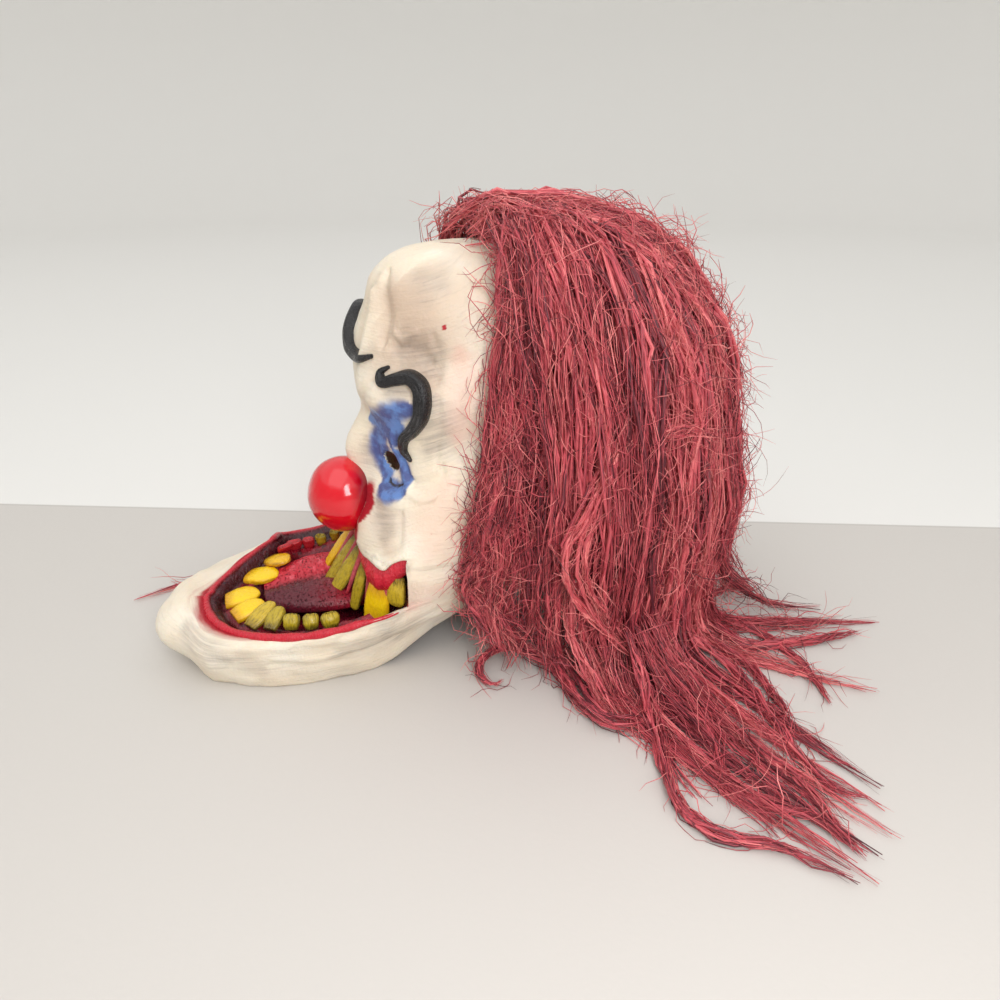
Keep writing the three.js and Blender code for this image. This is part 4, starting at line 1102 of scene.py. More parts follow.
@dataclass(frozen=True)
class Skin:
    """The latex shell, one wall from the hem and jaw up to the crown."""

    head: HeadForm
    front_columns: int = 180
    back_columns: int = 26
    jaw_rows: int = 26
    cheek_rows: int = 10
    face_rows: int = 120
    crown: tuple = (0, -40, 337)
    eye_place: tuple = (0.29, 0.515)
    eye_half: tuple = (10, 8)
    eye_depth: float = 0.62
    lobe_rise: float = 9
    eye_turn: float = 18
    fold_depth: float = 1.5
    chin_rise: float = 10
    chin_back: float = 9
    jaw_share: float = 0.3
    # Each dent's ink is painted shade in its crease; the strong 0.95 row is the drawn line over the eyelid
    folds: Table = Table(
        "mirror width lift ink way",
        (
            (0, 3.4, -1.6, 0.10, ((53.5, 0.833), (56.5, 0.800), (57, 0.753), (56.5, 0.731))),
            (0, 2.4, -0.7, 0.05, ((58, 0.700), (58.2, 0.626), (57.2, 0.578), (59, 0.533))),
            (0, 5.0, -2.6, 0.12, ((18, 0.945), (22, 0.900), (26.2, 0.855), (27, 0.800))),
            (0, 6.0, 2.2, 0.00, ((10, 0.900), (13, 0.850), (14, 0.790), (12, 0.760))),
            (0, 7.0, -3.0, 0.06, ((33, 0.800), (40, 0.806), (48, 0.795), (53, 0.770))),
            (0, 2.0, 1.4, 0.00, ((33, 0.832), (37, 0.815), (42, 0.826), (46, 0.838))),
            (0, 1.6, -1.0, 0.06, ((30, 0.822), (36, 0.800), (41, 0.812))),
            (0, 3.0, -1.4, 0.12, ((26, 0.722), (20, 0.690), (13, 0.650), (6, 0.612))),
            (1, 2.4, 1.9, 0, ((30, 0.6), (31, 0.545), (37, 0.5), (46, 0.468), (56, 0.46), (63, 0.468))),
            (1, 1.5, -1.2, 0.16, ((34, 0.590), (35, 0.545), (41, 0.506), (48, 0.482), (57, 0.472))),
            (1, 1.1, -1.6, 0.95, ((20.5, 0.472), (27, 0.466), (34, 0.470), (39, 0.482))),
            (1, 2.0, 1.0, 0.00, ((19, 0.456), (27, 0.450), (36, 0.456), (42, 0.472))),
            (0, 3.2, -1.7, 0.10, ((42.2, 0.498), (52.2, 0.491), (59.8, 0.505), (62.8, 0.518), (62, 0.54))),
            (1, 2.6, -1.5, 0.14,
             ((46, 0.42), (47, 0.401), (51, 0.371), (55, 0.344), (53, 0.323), (46, 0.303))),
            (1, 2.4, -1.3, 0.16, ((68, 0.326), (82, 0.305), (92, 0.276), (97, 0.241), (101, 0.200))),
            (0, 2.0, -0.8, 0.14, ((100, 0.215), (97, 0.180), (99, 0.130), (104, 0.100))),
            (0, 2.0, -0.9, 0.18, ((96, 0.205), (94, 0.180), (95, 0.150), (99, 0.120))),
            (0, 2.2, -0.8, 0.10, ((91, 0.175), (88, 0.150), (90, 0.115), (95, 0.080))),
            (0, 3.6, -1.4, 0.04, ((106, 0.130), (98, 0.095), (90, 0.075), (80, 0.070), (70, 0.085))),
            (0, 3.0, 1.0, 0.00, ((108, 0.150), (100, 0.115), (92, 0.095), (82, 0.090), (70, 0.105))),
            (0, 3.0, -0.8, 0.06, ((112, 0.200), (106, 0.160), (99, 0.140), (88, 0.130), (75, 0.135))),
            (1, 2.0, 0.9, 0.00, ((15, 0.520), (17, 0.550), (23, 0.563), (30, 0.556))),
        ),
    )
    # The shade rows are painted shade in the hollows and creases
    washes_and_shade: Table = Table(
        "paint mirror size amount way",
        (
            ("blue", 1, 12.0, 0.75, ((46, 0.672), (38, 0.662), (30, 0.640), (20, 0.622), (10, 0.612))),
            ("blue", 1, 13.0, 0.85, ((36, 0.640), (31, 0.605), (28, 0.575))),
            ("blue", 1, 12.0, 0.85, ((22, 0.605), (17, 0.570), (15, 0.535), (16, 0.500), (19, 0.470))),
            ("blue", 1, 10.5, 0.85, ((20, 0.465), (27, 0.455), (35, 0.458), (42, 0.468))),
            ("blue", 1, 8.5, 0.85, ((28, 0.560), (33, 0.530), (38, 0.500), (42, 0.480))),
            ("shade", 1, 7.0, 0.45, ((34, 0.700), (40, 0.700), (44, 0.706))),
            ("shade", 0, 12.0, 0.55, ((36, 0.792), (44, 0.802), (52, 0.785), (56, 0.745))),
            ("tan", 0, 34.0, 1.0, ((26, 0.900), (38, 0.880), (45, 0.830), (44, 0.785))),
            ("tan", 0, 20.0, 0.9, ((26, 0.830), (34, 0.790), (44, 0.770), (54, 0.730))),
            ("shade", 0, 13.0, 0.55, ((56, 0.690), (58, 0.640), (57, 0.600), (53, 0.570))),
            ("shade", 0, 16.0, 0.30, ((45, 0.945), (52, 0.930), (58, 0.920))),
            ("shade", 1, 8.0, 0.50, ((24, 0.430), (32, 0.410), (40, 0.380), (44, 0.345))),
            ("tan", 1, 13.0, 0.60, ((30, 0.425), (36, 0.390), (44, 0.355), (50, 0.325))),
            ("shade", 0, 7.0, 0.55, ((96, 0.205), (95, 0.170), (99, 0.120), (103, 0.090))),
            ("shade", 0, 10.0, 0.50, ((104, 0.150), (99, 0.110), (90, 0.090))),
            ("shade", 0, 11.0, 0.52, ((22, 0.125), (34, 0.115), (46, 0.110), (56, 0.095))),
            ("shade", 0, 9.0, 0.42, ((56, 0.115), (62, 0.095), (67, 0.060))),
            ("pink", 1, 5.0, 0.9, ((97, 0.212), (99, 0.200))),
            ("pink", 1, 12.0, 0.30, ((92, 0.230), (100, 0.240))),
            ("pink", 0, 10.0, 0.35, ((66, 0.800), (68, 0.700), (67, 0.600))),
            ("pink", 0, 14.0, 0.28, ((68, 0.500), (70, 0.400), (80, 0.330))),
            ("shade", 1, 5.0, 0.40, ((8, 0.560), (8, 0.500), (12, 0.440))),
            ("red", 1, 8.0, 1.0, ((10, 0.345), (14, 0.320), (20, 0.295))),
            ("red", 1, 6.5, 1.0, ((8, 0.400), (14, 0.430), (19, 0.400), (17, 0.350))),
            ("red", 0, 1.7, 1.0, ((58.0, 0.850), (59.2, 0.846))),
        ),
    )

    def columns(self) -> Array:
        """Every column of the grid, round from one corner of the mouth to the other."""
        front = np.linspace(-1, 1, self.front_columns + 1)
        back = 1 + 2 * np.arange(1, self.back_columns) / self.back_columns
        return np.r_[front, np.where(back > 2, back - 4, back)]

    def heights(self, columns: Array) -> Array:
        """The heights of the rows: hem to lower lip, across the mouth, and up to the crown."""
        hem = self.head.hem(columns)
        size = np.abs(columns)
        lobe = ease(0.14, 0.34, size) * (1 - ease(0.45, 0.70, size))
        low, high = self.head.lower_lip(columns), self.head.upper_lip(columns) + self.lobe_rise * lobe
        top = self.head.sections.column("height")[-1] * self.head.height
        jaw = mix(hem, low, np.linspace(0, 1, self.jaw_rows + 1)[:, None])
        cheek = mix(low, high, np.linspace(0, 1, self.cheek_rows + 1)[1:, None])
        share = np.linspace(0, 1, self.face_rows + 1)[1:, None]
        share = 0.28 * np.sin(np.pi / 2 * share) + 0.72 * share
        return np.concatenate([jaw, cheek, mix(high, top, share)])

    def way_points(self, way: Sequence, side: int) -> Array:
        """Places on the skin along a way given as turns and heights."""
        turns, heights = np.array(way, float).T
        fine = np.linspace(0, len(way) - 1, 14 * len(way))
        turn = np.interp(fine, np.arange(len(way)), turns) * side
        z = np.interp(fine, np.arange(len(way)), heights) * self.head.height
        return self.head.skin(self.head.column_at(turn, z), z)[0]

    def near_way(self, points: Array, way: Array, size: float) -> Array:
        """How close each place is to a way: exp(-d^2 / 2), thinner towards its ends."""
        close = np.zeros(len(points))
        low, high = way.min(axis=0) - 4 * size, way.max(axis=0) + 4 * size
        inside = np.nonzero(np.all((points > low) & (points < high), axis=1))[0]
        if len(inside) == 0:
            return close
        gaps = np.linalg.norm(points[inside][:, None] - way[None], axis=-1)
        nearest = gaps.argmin(axis=1)
        t = nearest / (len(way) - 1)
        taper = 0.35 + 0.65 * np.sin(np.pi * t) ** 0.5
        close[inside] = np.exp(-((gaps.min(axis=1) / (size * taper)) ** 2) / 2)
        return close

    def dress(self, base: Array) -> tuple[Array, dict[str, Array]]:
        """The folds' lift and the paint of every place.

        Args:
            base: places on the plain skin.

        Returns:
            The lift along the normal, and the painted masks.
        """
        lift = np.zeros(len(base))
        paint = {key: np.zeros(len(base)) for key in ("blue", "shade", "pink", "tan", "red", "ink")}
        for row in self.folds.records():
            for side in (1, -1) if row["mirror"] else (1,):
                close = self.near_way(base, self.way_points(row["way"], side), row["width"])
                lift += self.fold_depth * row["lift"] * close
                # Ink along each dent is painted shade in the crease
                paint["ink"] = np.maximum(paint["ink"], row["ink"] * close)
        for row in self.washes_and_shade.records():
            for side in (1, -1) if row["mirror"] else (1,):
                close = self.near_way(base, self.way_points(row["way"], side), row["size"])
                paint[row["paint"]] = np.maximum(paint[row["paint"]], row["amount"] * close)
        return lift, paint

    def eye_place_of(self, points: Array, side: int) -> tuple[Array, Array, Array]:
        """Places measured from an eye hole's middle: across it and up, and the across way."""
        turn = math.radians(side * self.eye_turn)
        across = np.array([math.cos(turn), math.sin(turn), 0])
        aside = side * self.eye_place[0] * self.head.width / 2
        middle = np.array([aside, -self.eye_depth * self.head.face_reach, 0])
        u = (points - middle) @ across
        ahead = points[:, 1] < -0.5 * self.head.face_reach
        return np.where(ahead, u, 1e3), points[:, 2] - self.eye_place[1] * self.head.height, across

    def bent(self, base: Array, normal: Array, lift: Array, z: Array) -> Array:
        """The skin with its folds, ripples and flared hem, and its chin bent up and back.

        Args:
            base, normal: the plain skin and the way that it faces.
            lift: the folds' lift.
            z: the grid's heights.

        Returns:
            The places, kept on or over the table.
        """
        low = np.clip(1 - base[:, 2] / (self.jaw_share * self.head.height), 0, 1)
        rumple = Ripple(3, 34)(base) * 0.55 + Ripple(4, 90, 2)(base) * 1.3
        hem_near = np.exp(-(z - z[0]).ravel() / 9)
        lifted = ease(2, 10, np.broadcast_to(z[0], z.shape).ravel())
        flare = hem_near * (0.6 + 1.3 * Ripple(5, 60, 2)(base)) * lifted
        front = ease(-0.2, 0.6, -normal[:, 1])
        points = base + normal * (lift + rumple * (0.35 + 1.1 * low) * (0.5 + 0.5 * front) + flare)[:, None]
        chin = ease(-268, -304, points[:, 1])
        points[:, 2] += self.chin_rise * chin * ease(0, 36, points[:, 2])
        points[:, 1] += self.chin_back * chin * (1 + 0.7 * ease(30, 0, points[:, 2]))
        points[:, 2] = np.where(base[:, 2] < 1e-6, 0.0, np.maximum(points[:, 2], 0.0))
        return points

    def open_eyes(self, points: Array, normal: Array, quads: Array) -> Array:
        """Draws the points beside each eye hole onto its oval, with a raised rim round it.

        Args:
            points: the skin's places, which are moved.
            normal: the way that the skin faces.
            quads: the skin's faces.

        Returns:
            True for each face that stays.
        """
        keep = np.ones(len(quads), bool)
        for side in (1, -1):
            u, v, across = self.eye_place_of(points, side)
            ring = np.hypot(u / self.eye_half[0], v / self.eye_half[1])
            middle = ring[quads].mean(axis=1)
            keep &= middle > 1
            edge = np.unique(quads[(middle > 1) & (ring[quads].min(axis=1) < 1.0)])
            edge = edge[np.abs(ring[edge] - 1) < 0.42]
            out = (1 / ring[edge] - 1)[:, None]
            inner = ring[edge] < 1.0
            step = across * (u[edge][:, None] * out) + np.array([0, 0, 1]) * (v[edge][:, None] * out)
            points[edge[inner]] += step[inner]
            rim = np.exp(-np.abs(ring - 1.25) / 0.22) * (ring > 0.9)
            points += normal * rim[:, None]
        return keep

    def grain(self, columns: Array, z: Array) -> Array:
        """Where a place lies along and across the brush strokes, which follow the jaw."""
        lip = self.head.lower_lip(columns)
        depth = (z - z[0]) / (lip - z[0])
        across_jaw = np.where(depth < 1, depth * 44, 44 + (z - lip))
        across_jaw = across_jaw / np.where(z < self.jaw_share * self.head.height, 1.5, 2.4)
        along = np.broadcast_to(columns * 130 / 26, z.shape)
        return np.stack([along, across_jaw, np.zeros_like(z)], -1).reshape(-1, 3)

    def surface(self) -> Surface:
        """The whole shell as one closed wall, with the mouth and the eye holes open."""
        columns = self.columns()
        z = self.heights(columns)
        base, normal = self.head.skin(np.broadcast_to(columns, z.shape), z)
        rows, width = z.shape
        base, normal = base.reshape(-1, 3), normal.reshape(-1, 3)
        lift, paint = self.dress(base)
        points = self.bent(base, normal, lift, z)

        quads = grid_quads(rows, width, True)
        row, column = quads[:, 0] // width, quads[:, 0] % width
        mouth = (row >= self.jaw_rows) & (row < self.jaw_rows + self.cheek_rows)
        mouth &= column < self.front_columns
        quads = quads[self.open_eyes(points, normal, quads) & ~mouth]
        ring = (rows - 1) * width + np.arange(width)
        tris = np.stack([ring, np.roll(ring, -1), np.full(width, len(points))], 1)
        points = np.concatenate([points, [self.crown]])

        lip_gap = self.head.lower_lip(columns) - z
        near_lip = np.exp(-np.abs(lip_gap) / 2.2) * (1 - ease(0.70, 0.82, np.abs(columns)))
        lip_red = np.where((np.abs(columns) <= 1) & (lip_gap >= -0.01), near_lip, 0)
        paint["red"] = np.maximum(paint["red"], lip_red.ravel())
        # Painted shade: the skin greys towards the hem, under the jaw
        low = np.clip(1 - base[:, 2] / (self.jaw_share * self.head.height), 0, 1)
        paint["shade"] = np.maximum(paint["shade"], 0.22 * low * (0.5 + 0.5 * Ripple(6, 70, 2)(base)))
        # The wash layer holds blue paint, painted shade and pink; the lines layer holds red, ink that is
        # partly painted shade in the creases, and tan
        layers = {
            "grain": np.concatenate([self.grain(columns, z), [[0, 0, 0]]]),
            "wash": np.stack([np.r_[paint[key], 0] for key in ("blue", "shade", "pink")], -1),
            "lines": np.stack([np.r_[paint[key], 0] for key in ("red", "ink", "tan")], -1),
        }
        sheet = Surface(points, quads, tris, layers)
        solid = sheet.thickened(self.head.wall, unit(np.concatenate([normal, [[0, 0, 1]]])))
        for key in ("wash", "lines"):
            solid.paint[key][len(sheet.points) :] = 0
        solid.points[:, 2] = np.maximum(solid.points[:, 2], 0)
        return solid.packed()

    def build(self, shop: Workshop) -> None:
        """Makes the shell."""
        shop.piece("latex_skin", self.surface(), PaintedLatex(), ["skin"])


# Nose and brows


@dataclass(frozen=True)
class Nose:
    """The glossy ball, slightly out of round, seated in the face."""

    radius: float = 31
    sink: float = 4
    tall: float = 1.09
    middle: tuple = (0, -1.172 * 128, 0.399 * 337)
    rows: int = 72
    columns: int = 96

    def build(self, shop: Workshop) -> None:
        """A ball whose radius swells and sinks a little: r (1 + ripple), flatter below."""
        polar = np.linspace(0, np.pi, self.rows)[1:-1, None]
        turn = TURN * np.arange(self.columns)[None] / self.columns
        x, y = np.sin(polar) * np.cos(turn), np.sin(polar) * np.sin(turn)
        way = np.stack(np.broadcast_arrays(x, y, -np.cos(polar)), -1).reshape(-1, 3)
        way = np.concatenate([way, [[0, 0, -1], [0, 0, 1]]])
        low = ease(0.2, 1.0, -way[:, 2])
        reach = self.radius * (1 + 0.010 * Ripple(11, 1.6, 2)(way) - 0.03 * low)
        stretch = np.array([1.0, 1.0, self.tall])
        points = np.array(self.middle) + np.array([0, self.sink, -1]) + way * stretch * reach[:, None]
        rows = self.rows - 2
        # Painted shade: darker towards the back of the ball, where it meets the face
        shade = ease(0.25, 0.75, way[:, 1] + 0.25 * way[:, 0])
        ball = Surface(
            points,
            grid_quads(rows, self.columns, True),
            tip_fans(rows, self.columns, len(points) - 2),
            {"shade": shade},
        )
        shop.piece("ball_nose", ball, GlossyBall(), ["nose"])


@dataclass(frozen=True)
class Brow:
    """A raised black curl with a flat top, lying on the forehead."""

    name: str
    node: str
    side: int
    head: HeadForm
    route: Table
    width: float = 13
    depth: float = 9
    steps: int = 130
    sides: int = 32

    def build(self, shop: Workshop) -> None:
        """A rounded oblong section carried along the curl, ridged on top."""
        turn, height, size = (self.route.column(name) for name in ("turn", "height", "size"))
        z = height * self.head.height
        place, normal = self.head.skin(self.head.column_at(self.side * turn, z), z, self.depth * 0.1)
        path = smooth_path(place, self.steps)
        run = np.cumsum(np.r_[0, np.linalg.norm(np.diff(place, axis=0), axis=1)])
        t = np.linspace(0, run[-1], self.steps)
        size = np.interp(t, run, size)
        facing = unit(read_along(t, run, normal))
        along = unit(np.gradient(path, axis=0))
        side = unit(np.cross(along, facing))
        up = np.cross(side, along)
        angle = TURN * np.arange(self.sides) / self.sides
        flat = signed_power(np.cos(angle), 0.62)[None]
        tall = signed_power(np.sin(angle), 0.55)[None]
        half = (size * self.width / 2)[:, None]
        deep = (np.minimum(size, 1) * self.depth * 0.82)[:, None]
        top = np.maximum(np.sin(angle), 0)[None]
        ridge = 0.45 * np.sin(flat * 9 + 0.6) * top * np.minimum(size, 1)[:, None]
        ring = side[:, None] * (half * flat * (1 - 0.16 * top))[..., None]
        ring = ring + up[:, None] * (deep * tall + ridge)[..., None]
        points = (path[:, None] + ring).reshape(-1, 3)
        ends = [path[0] - along[0] * 1.2, path[-1] + along[-1] * 1.2]
        run_on = np.repeat(t, self.sides)
        grain = np.stack([np.tile(flat[0] * 6, self.steps), np.tile(tall[0] * 6, self.steps), run_on], -1)
        # Grey on the top faces, more towards the tail: partly dry-brushing, partly painted sheen
        top = np.tile(ease(0.2, 0.9, np.sin(angle)), self.steps)
        lower = ease(0.45, 0.75, run_on / run[-1])
        worn = top * (0.12 + 0.5 * lower)
        curl = Surface(
            np.concatenate([points, ends]),
            grid_quads(self.steps, self.sides, True)[:, ::-1],
            tip_fans(self.steps, self.sides, len(points), True),
            {"grain": np.concatenate([grain, grain[-2:]]), "worn": np.r_[worn, 0, 0]},
        )
        shop.piece(self.name, curl, BrowPaint(), [self.node])


# The mouth


@dataclass(frozen=True)
class MouthForm:
    """The sizes and lines that the mouth's pieces share."""

    head: HeadForm
    gap: float = 0.7
    floor: float = 22
    tray_middle: tuple = (-5.4, -0.566 * 318, 22)
    gum_height: float = 19
    gum_depth: float = 10
    throat_depth: float = 0.815
    throat_height: float = 0.272
    tray: Table = Table(
        "out front back",
        (
            (1.000, 0.90, 1.00),
            (0.975, 0.98, 0.97),
            (0.945, 0.92, 0.74),
            (0.910, 0.74, 0.54),
            (0.880, 0.64, 0.40),
            (0.810, 0.76, 0.24),
            (0.700, 0.80, 0.13),
            (0.600, 0.50, 0.07),
            (0.460, 0.14, 0.03),
            (0.230, 0.02, 0.01),
            (0.000, 0.00, 0.00),
        ),
    )

    def lip_edge(self, column: Array) -> tuple[Array, Array]:
        """The line inside the shell that the tray's rim follows, and its outward way."""
        point, normal = self.head.skin(column, self.head.lower_lip(column))
        normal = level(normal)
        return point - normal * (self.head.wall + self.gap), normal

    def gum_line(self, column: Array) -> tuple[Array, Array]:
        """The middle of the gum band under the upper lip, and its outward way."""
        point, normal = self.head.skin(column, self.head.upper_lip(column))
        normal = level(normal)
        return point - normal * (self.head.wall + self.gap + self.gum_depth / 2), normal

    def rim(self, front: int, back: int) -> tuple[Array, Array, Array]:
        """The tray's closed rim.

        Args:
            front: how many places go along the lip.
            back: how many go across the throat.

        Returns:
            The places, how far each one belongs to the throat, and the outward ways.
        """
        edge, way = self.lip_edge(np.linspace(-1, 1, front))
        share = (np.arange(back) + 1) / (back + 1)
        bow = np.sin(np.pi * share)
        corner = edge[-1]
        throat = np.stack(
            [
                corner[0] * (1 - 2 * share),
                mix(corner[1], -self.throat_depth * self.head.face_reach, bow**0.6),
                mix(corner[2], self.throat_height * self.head.height, bow**0.42),
            ],
            -1,
        )
        backness = np.r_[np.zeros(front), bow**0.42]
        ways = np.concatenate([way, np.tile([0.0, 1.0, 0.0], (back, 1))])
        return np.concatenate([edge, throat]), backness, ways

    def tray_point(self, along: float, out: float) -> Array:
        """A place on the tray under a share of the lip line and a share of the way out."""
        edge = self.lip_edge(np.array([along]))[0][0]
        middle = np.array(self.tray_middle)
        place = mix(middle, edge, out)
        order = self.tray.column("out")[::-1]
        share = np.interp(out, order, self.tray.column("front")[::-1])
        place[2] = self.floor + (edge[2] - self.floor) * share
        return place


@dataclass(frozen=True)
class MouthLining:
    """The tray in the lower jaw: lip bead, trench, gum ridge and throat in one sheet."""

    mouth: MouthForm
    front: int = 160
    back: int = 34
    rows: int = 42
    wall: float = 2.0
    bead: float = 3.7
    bead_rows: int = 14
    bead_arc: tuple = (-75, 170)
    bright: Array = paint_colour(196, 24, 46)
    crimson: Array = paint_colour(150, 18, 40)
    maroon: Array = paint_colour(66, 8, 24)
    gum: Array = paint_colour(150, 26, 44)
    floor_red: Array = paint_colour(112, 14, 34)

    def surface(self) -> Surface:
        """Rings from the lip to the middle of the tray.

        The first rings go over the lip as an arc of the bead's radius round the edge
        of the latex. The rest are shares of the way in, at the profile's heights,
        rumpled into folds near the corners.
        """
        rim, backness, ways = self.mouth.rim(self.front, self.back)
        middle = np.array(self.mouth.tray_middle)
        angle = np.radians(np.linspace(*self.bead_arc, self.bead_rows))[:, None, None]
        along = np.r_[np.linspace(-1, 1, self.front), np.ones(self.back)]
        fade = 1 - 0.8 * ease(0.86, 1.0, np.abs(along))
        lip = ((1 - backness) * fade)[None, :, None]
        swell = self.bead * (1 + 0.10 * Ripple(21, 26, 2)(rim))[None, :, None]
        centre = rim[None] + ways[None] * 1.9 - np.array([0, 0, 1.0])
        arc = centre + lip * swell * (ways[None] * np.cos(angle) + np.array([0, 0, 1.0]) * np.sin(angle))
        table = self.mouth.tray
        out = np.linspace(0.975, 0.03, self.rows)
        order = table.column("out")[::-1]
        front = np.interp(out, order, table.column("front")[::-1])[:, None]
        back = np.interp(out, order, table.column("back")[::-1])[:, None]
        share = mix(front, back, backness[None])
        sheet = mix(middle, rim[None], out[:, None, None])
        sheet[..., 2] = self.mouth.floor + (rim[None, :, 2] - self.mouth.floor) * share
        crease = ease(0.66, 0.9, along)[None] * bump_at(out, 0.84, 0.09)[:, None]
        fold = crease * 2.4 * np.sin(out[:, None] * 52 + 3 * along[None])
        rumple = Ripple(22, 16, 3)(sheet) * 0.9 + Ripple(23, 6, 2)(sheet) * 0.35
        ridge = bump_at(out, 0.78, 0.07)[:, None]
        sheet[..., 2] += fold + rumple * (0.35 + 0.8 * ridge)
        sink = 11 * ease(0.2, 0.6, along)[None] * bump_at(out, 0.80, 0.16)[:, None]
        sheet[..., 2] = np.maximum(sheet[..., 2] - sink, self.mouth.floor)
        points = np.concatenate([arc, sheet]).reshape(-1, 3)
        rows, width = self.bead_rows + self.rows, len(rim)
        count = rows * width
        last = (rows - 1) * width + np.arange(width)
        tris = np.stack([last, np.roll(last, -1), np.full(width, count)], 1)
        flat = Surface(
            np.concatenate([points, [middle]]),
            grid_quads(rows, width, True),
            tris,
            self.paint(out, backness, along, rows, width),
        )
        return flat.thickened(self.wall)

    def paint(self, out: Array, backness: Array, along: Array, rows: int, width: int) -> dict[str, Array]:
        """The reds of each ring: bright bead, maroon trench, red gum, darker floor, with painted shade in
        the trench and throat.
        """
        tone = np.empty((rows, width, 3))
        turn = np.linspace(*self.bead_arc, self.bead_rows)
        # The bead darkens on its underside and where it rolls into the trench: painted shade
        arc = mix(self.bright, self.maroon, ease(95, 165, turn)[:, None])
        arc = mix(self.crimson, arc, ease(-75, -20, turn)[:, None])
        tone[: self.bead_rows] = arc[:, None]
        # The trench between bead and gum ridge is painted shade: darker copies of the crimson and maroon
        stops = (0.0, 0.45, 0.62, 0.72, 0.80, 0.85, 0.90, 0.96)
        reds = [self.floor_red, self.floor_red, self.maroon, self.gum, self.gum]
        reds += [self.crimson * 0.6, self.maroon * 0.55, self.maroon]
        sheet = read_along(out, stops, np.array(reds))
        tone[self.bead_rows :] = sheet[:, None]
        # Towards the throat the reds sink to dark maroon, partly its paint and partly painted shade
        tone = mix(tone, self.maroon * 0.8, (0.75 * backness)[None, :, None])
        # Dark blotches: light on the bead, heavy inside the tray, partly painted shade; pale streaks on the
        # bead and the near folds are partly painted sheen
        wear = np.zeros((rows, width, 3))
        wear[..., 0] = 0.15
        wear[self.bead_rows :, :, 0] = 0.8
        wear[..., 1] = 0.25
        wear[self.bead_rows :, :, 1] = 0.12 + 0.4 * ease(0.7, 0.95, along)[None]
        tone = np.concatenate([tone.reshape(-1, 3), [self.floor_red]])
        wear = np.concatenate([wear.reshape(-1, 3), [[0.8, 0.1, 0]]])
        return {"tone": tone, "wear": wear}

    def build(self, shop: Workshop) -> None:
        """Makes the lining."""
        shop.piece("mouth_tray", self.surface(), MouthPaint(), ["mouth_lining"])


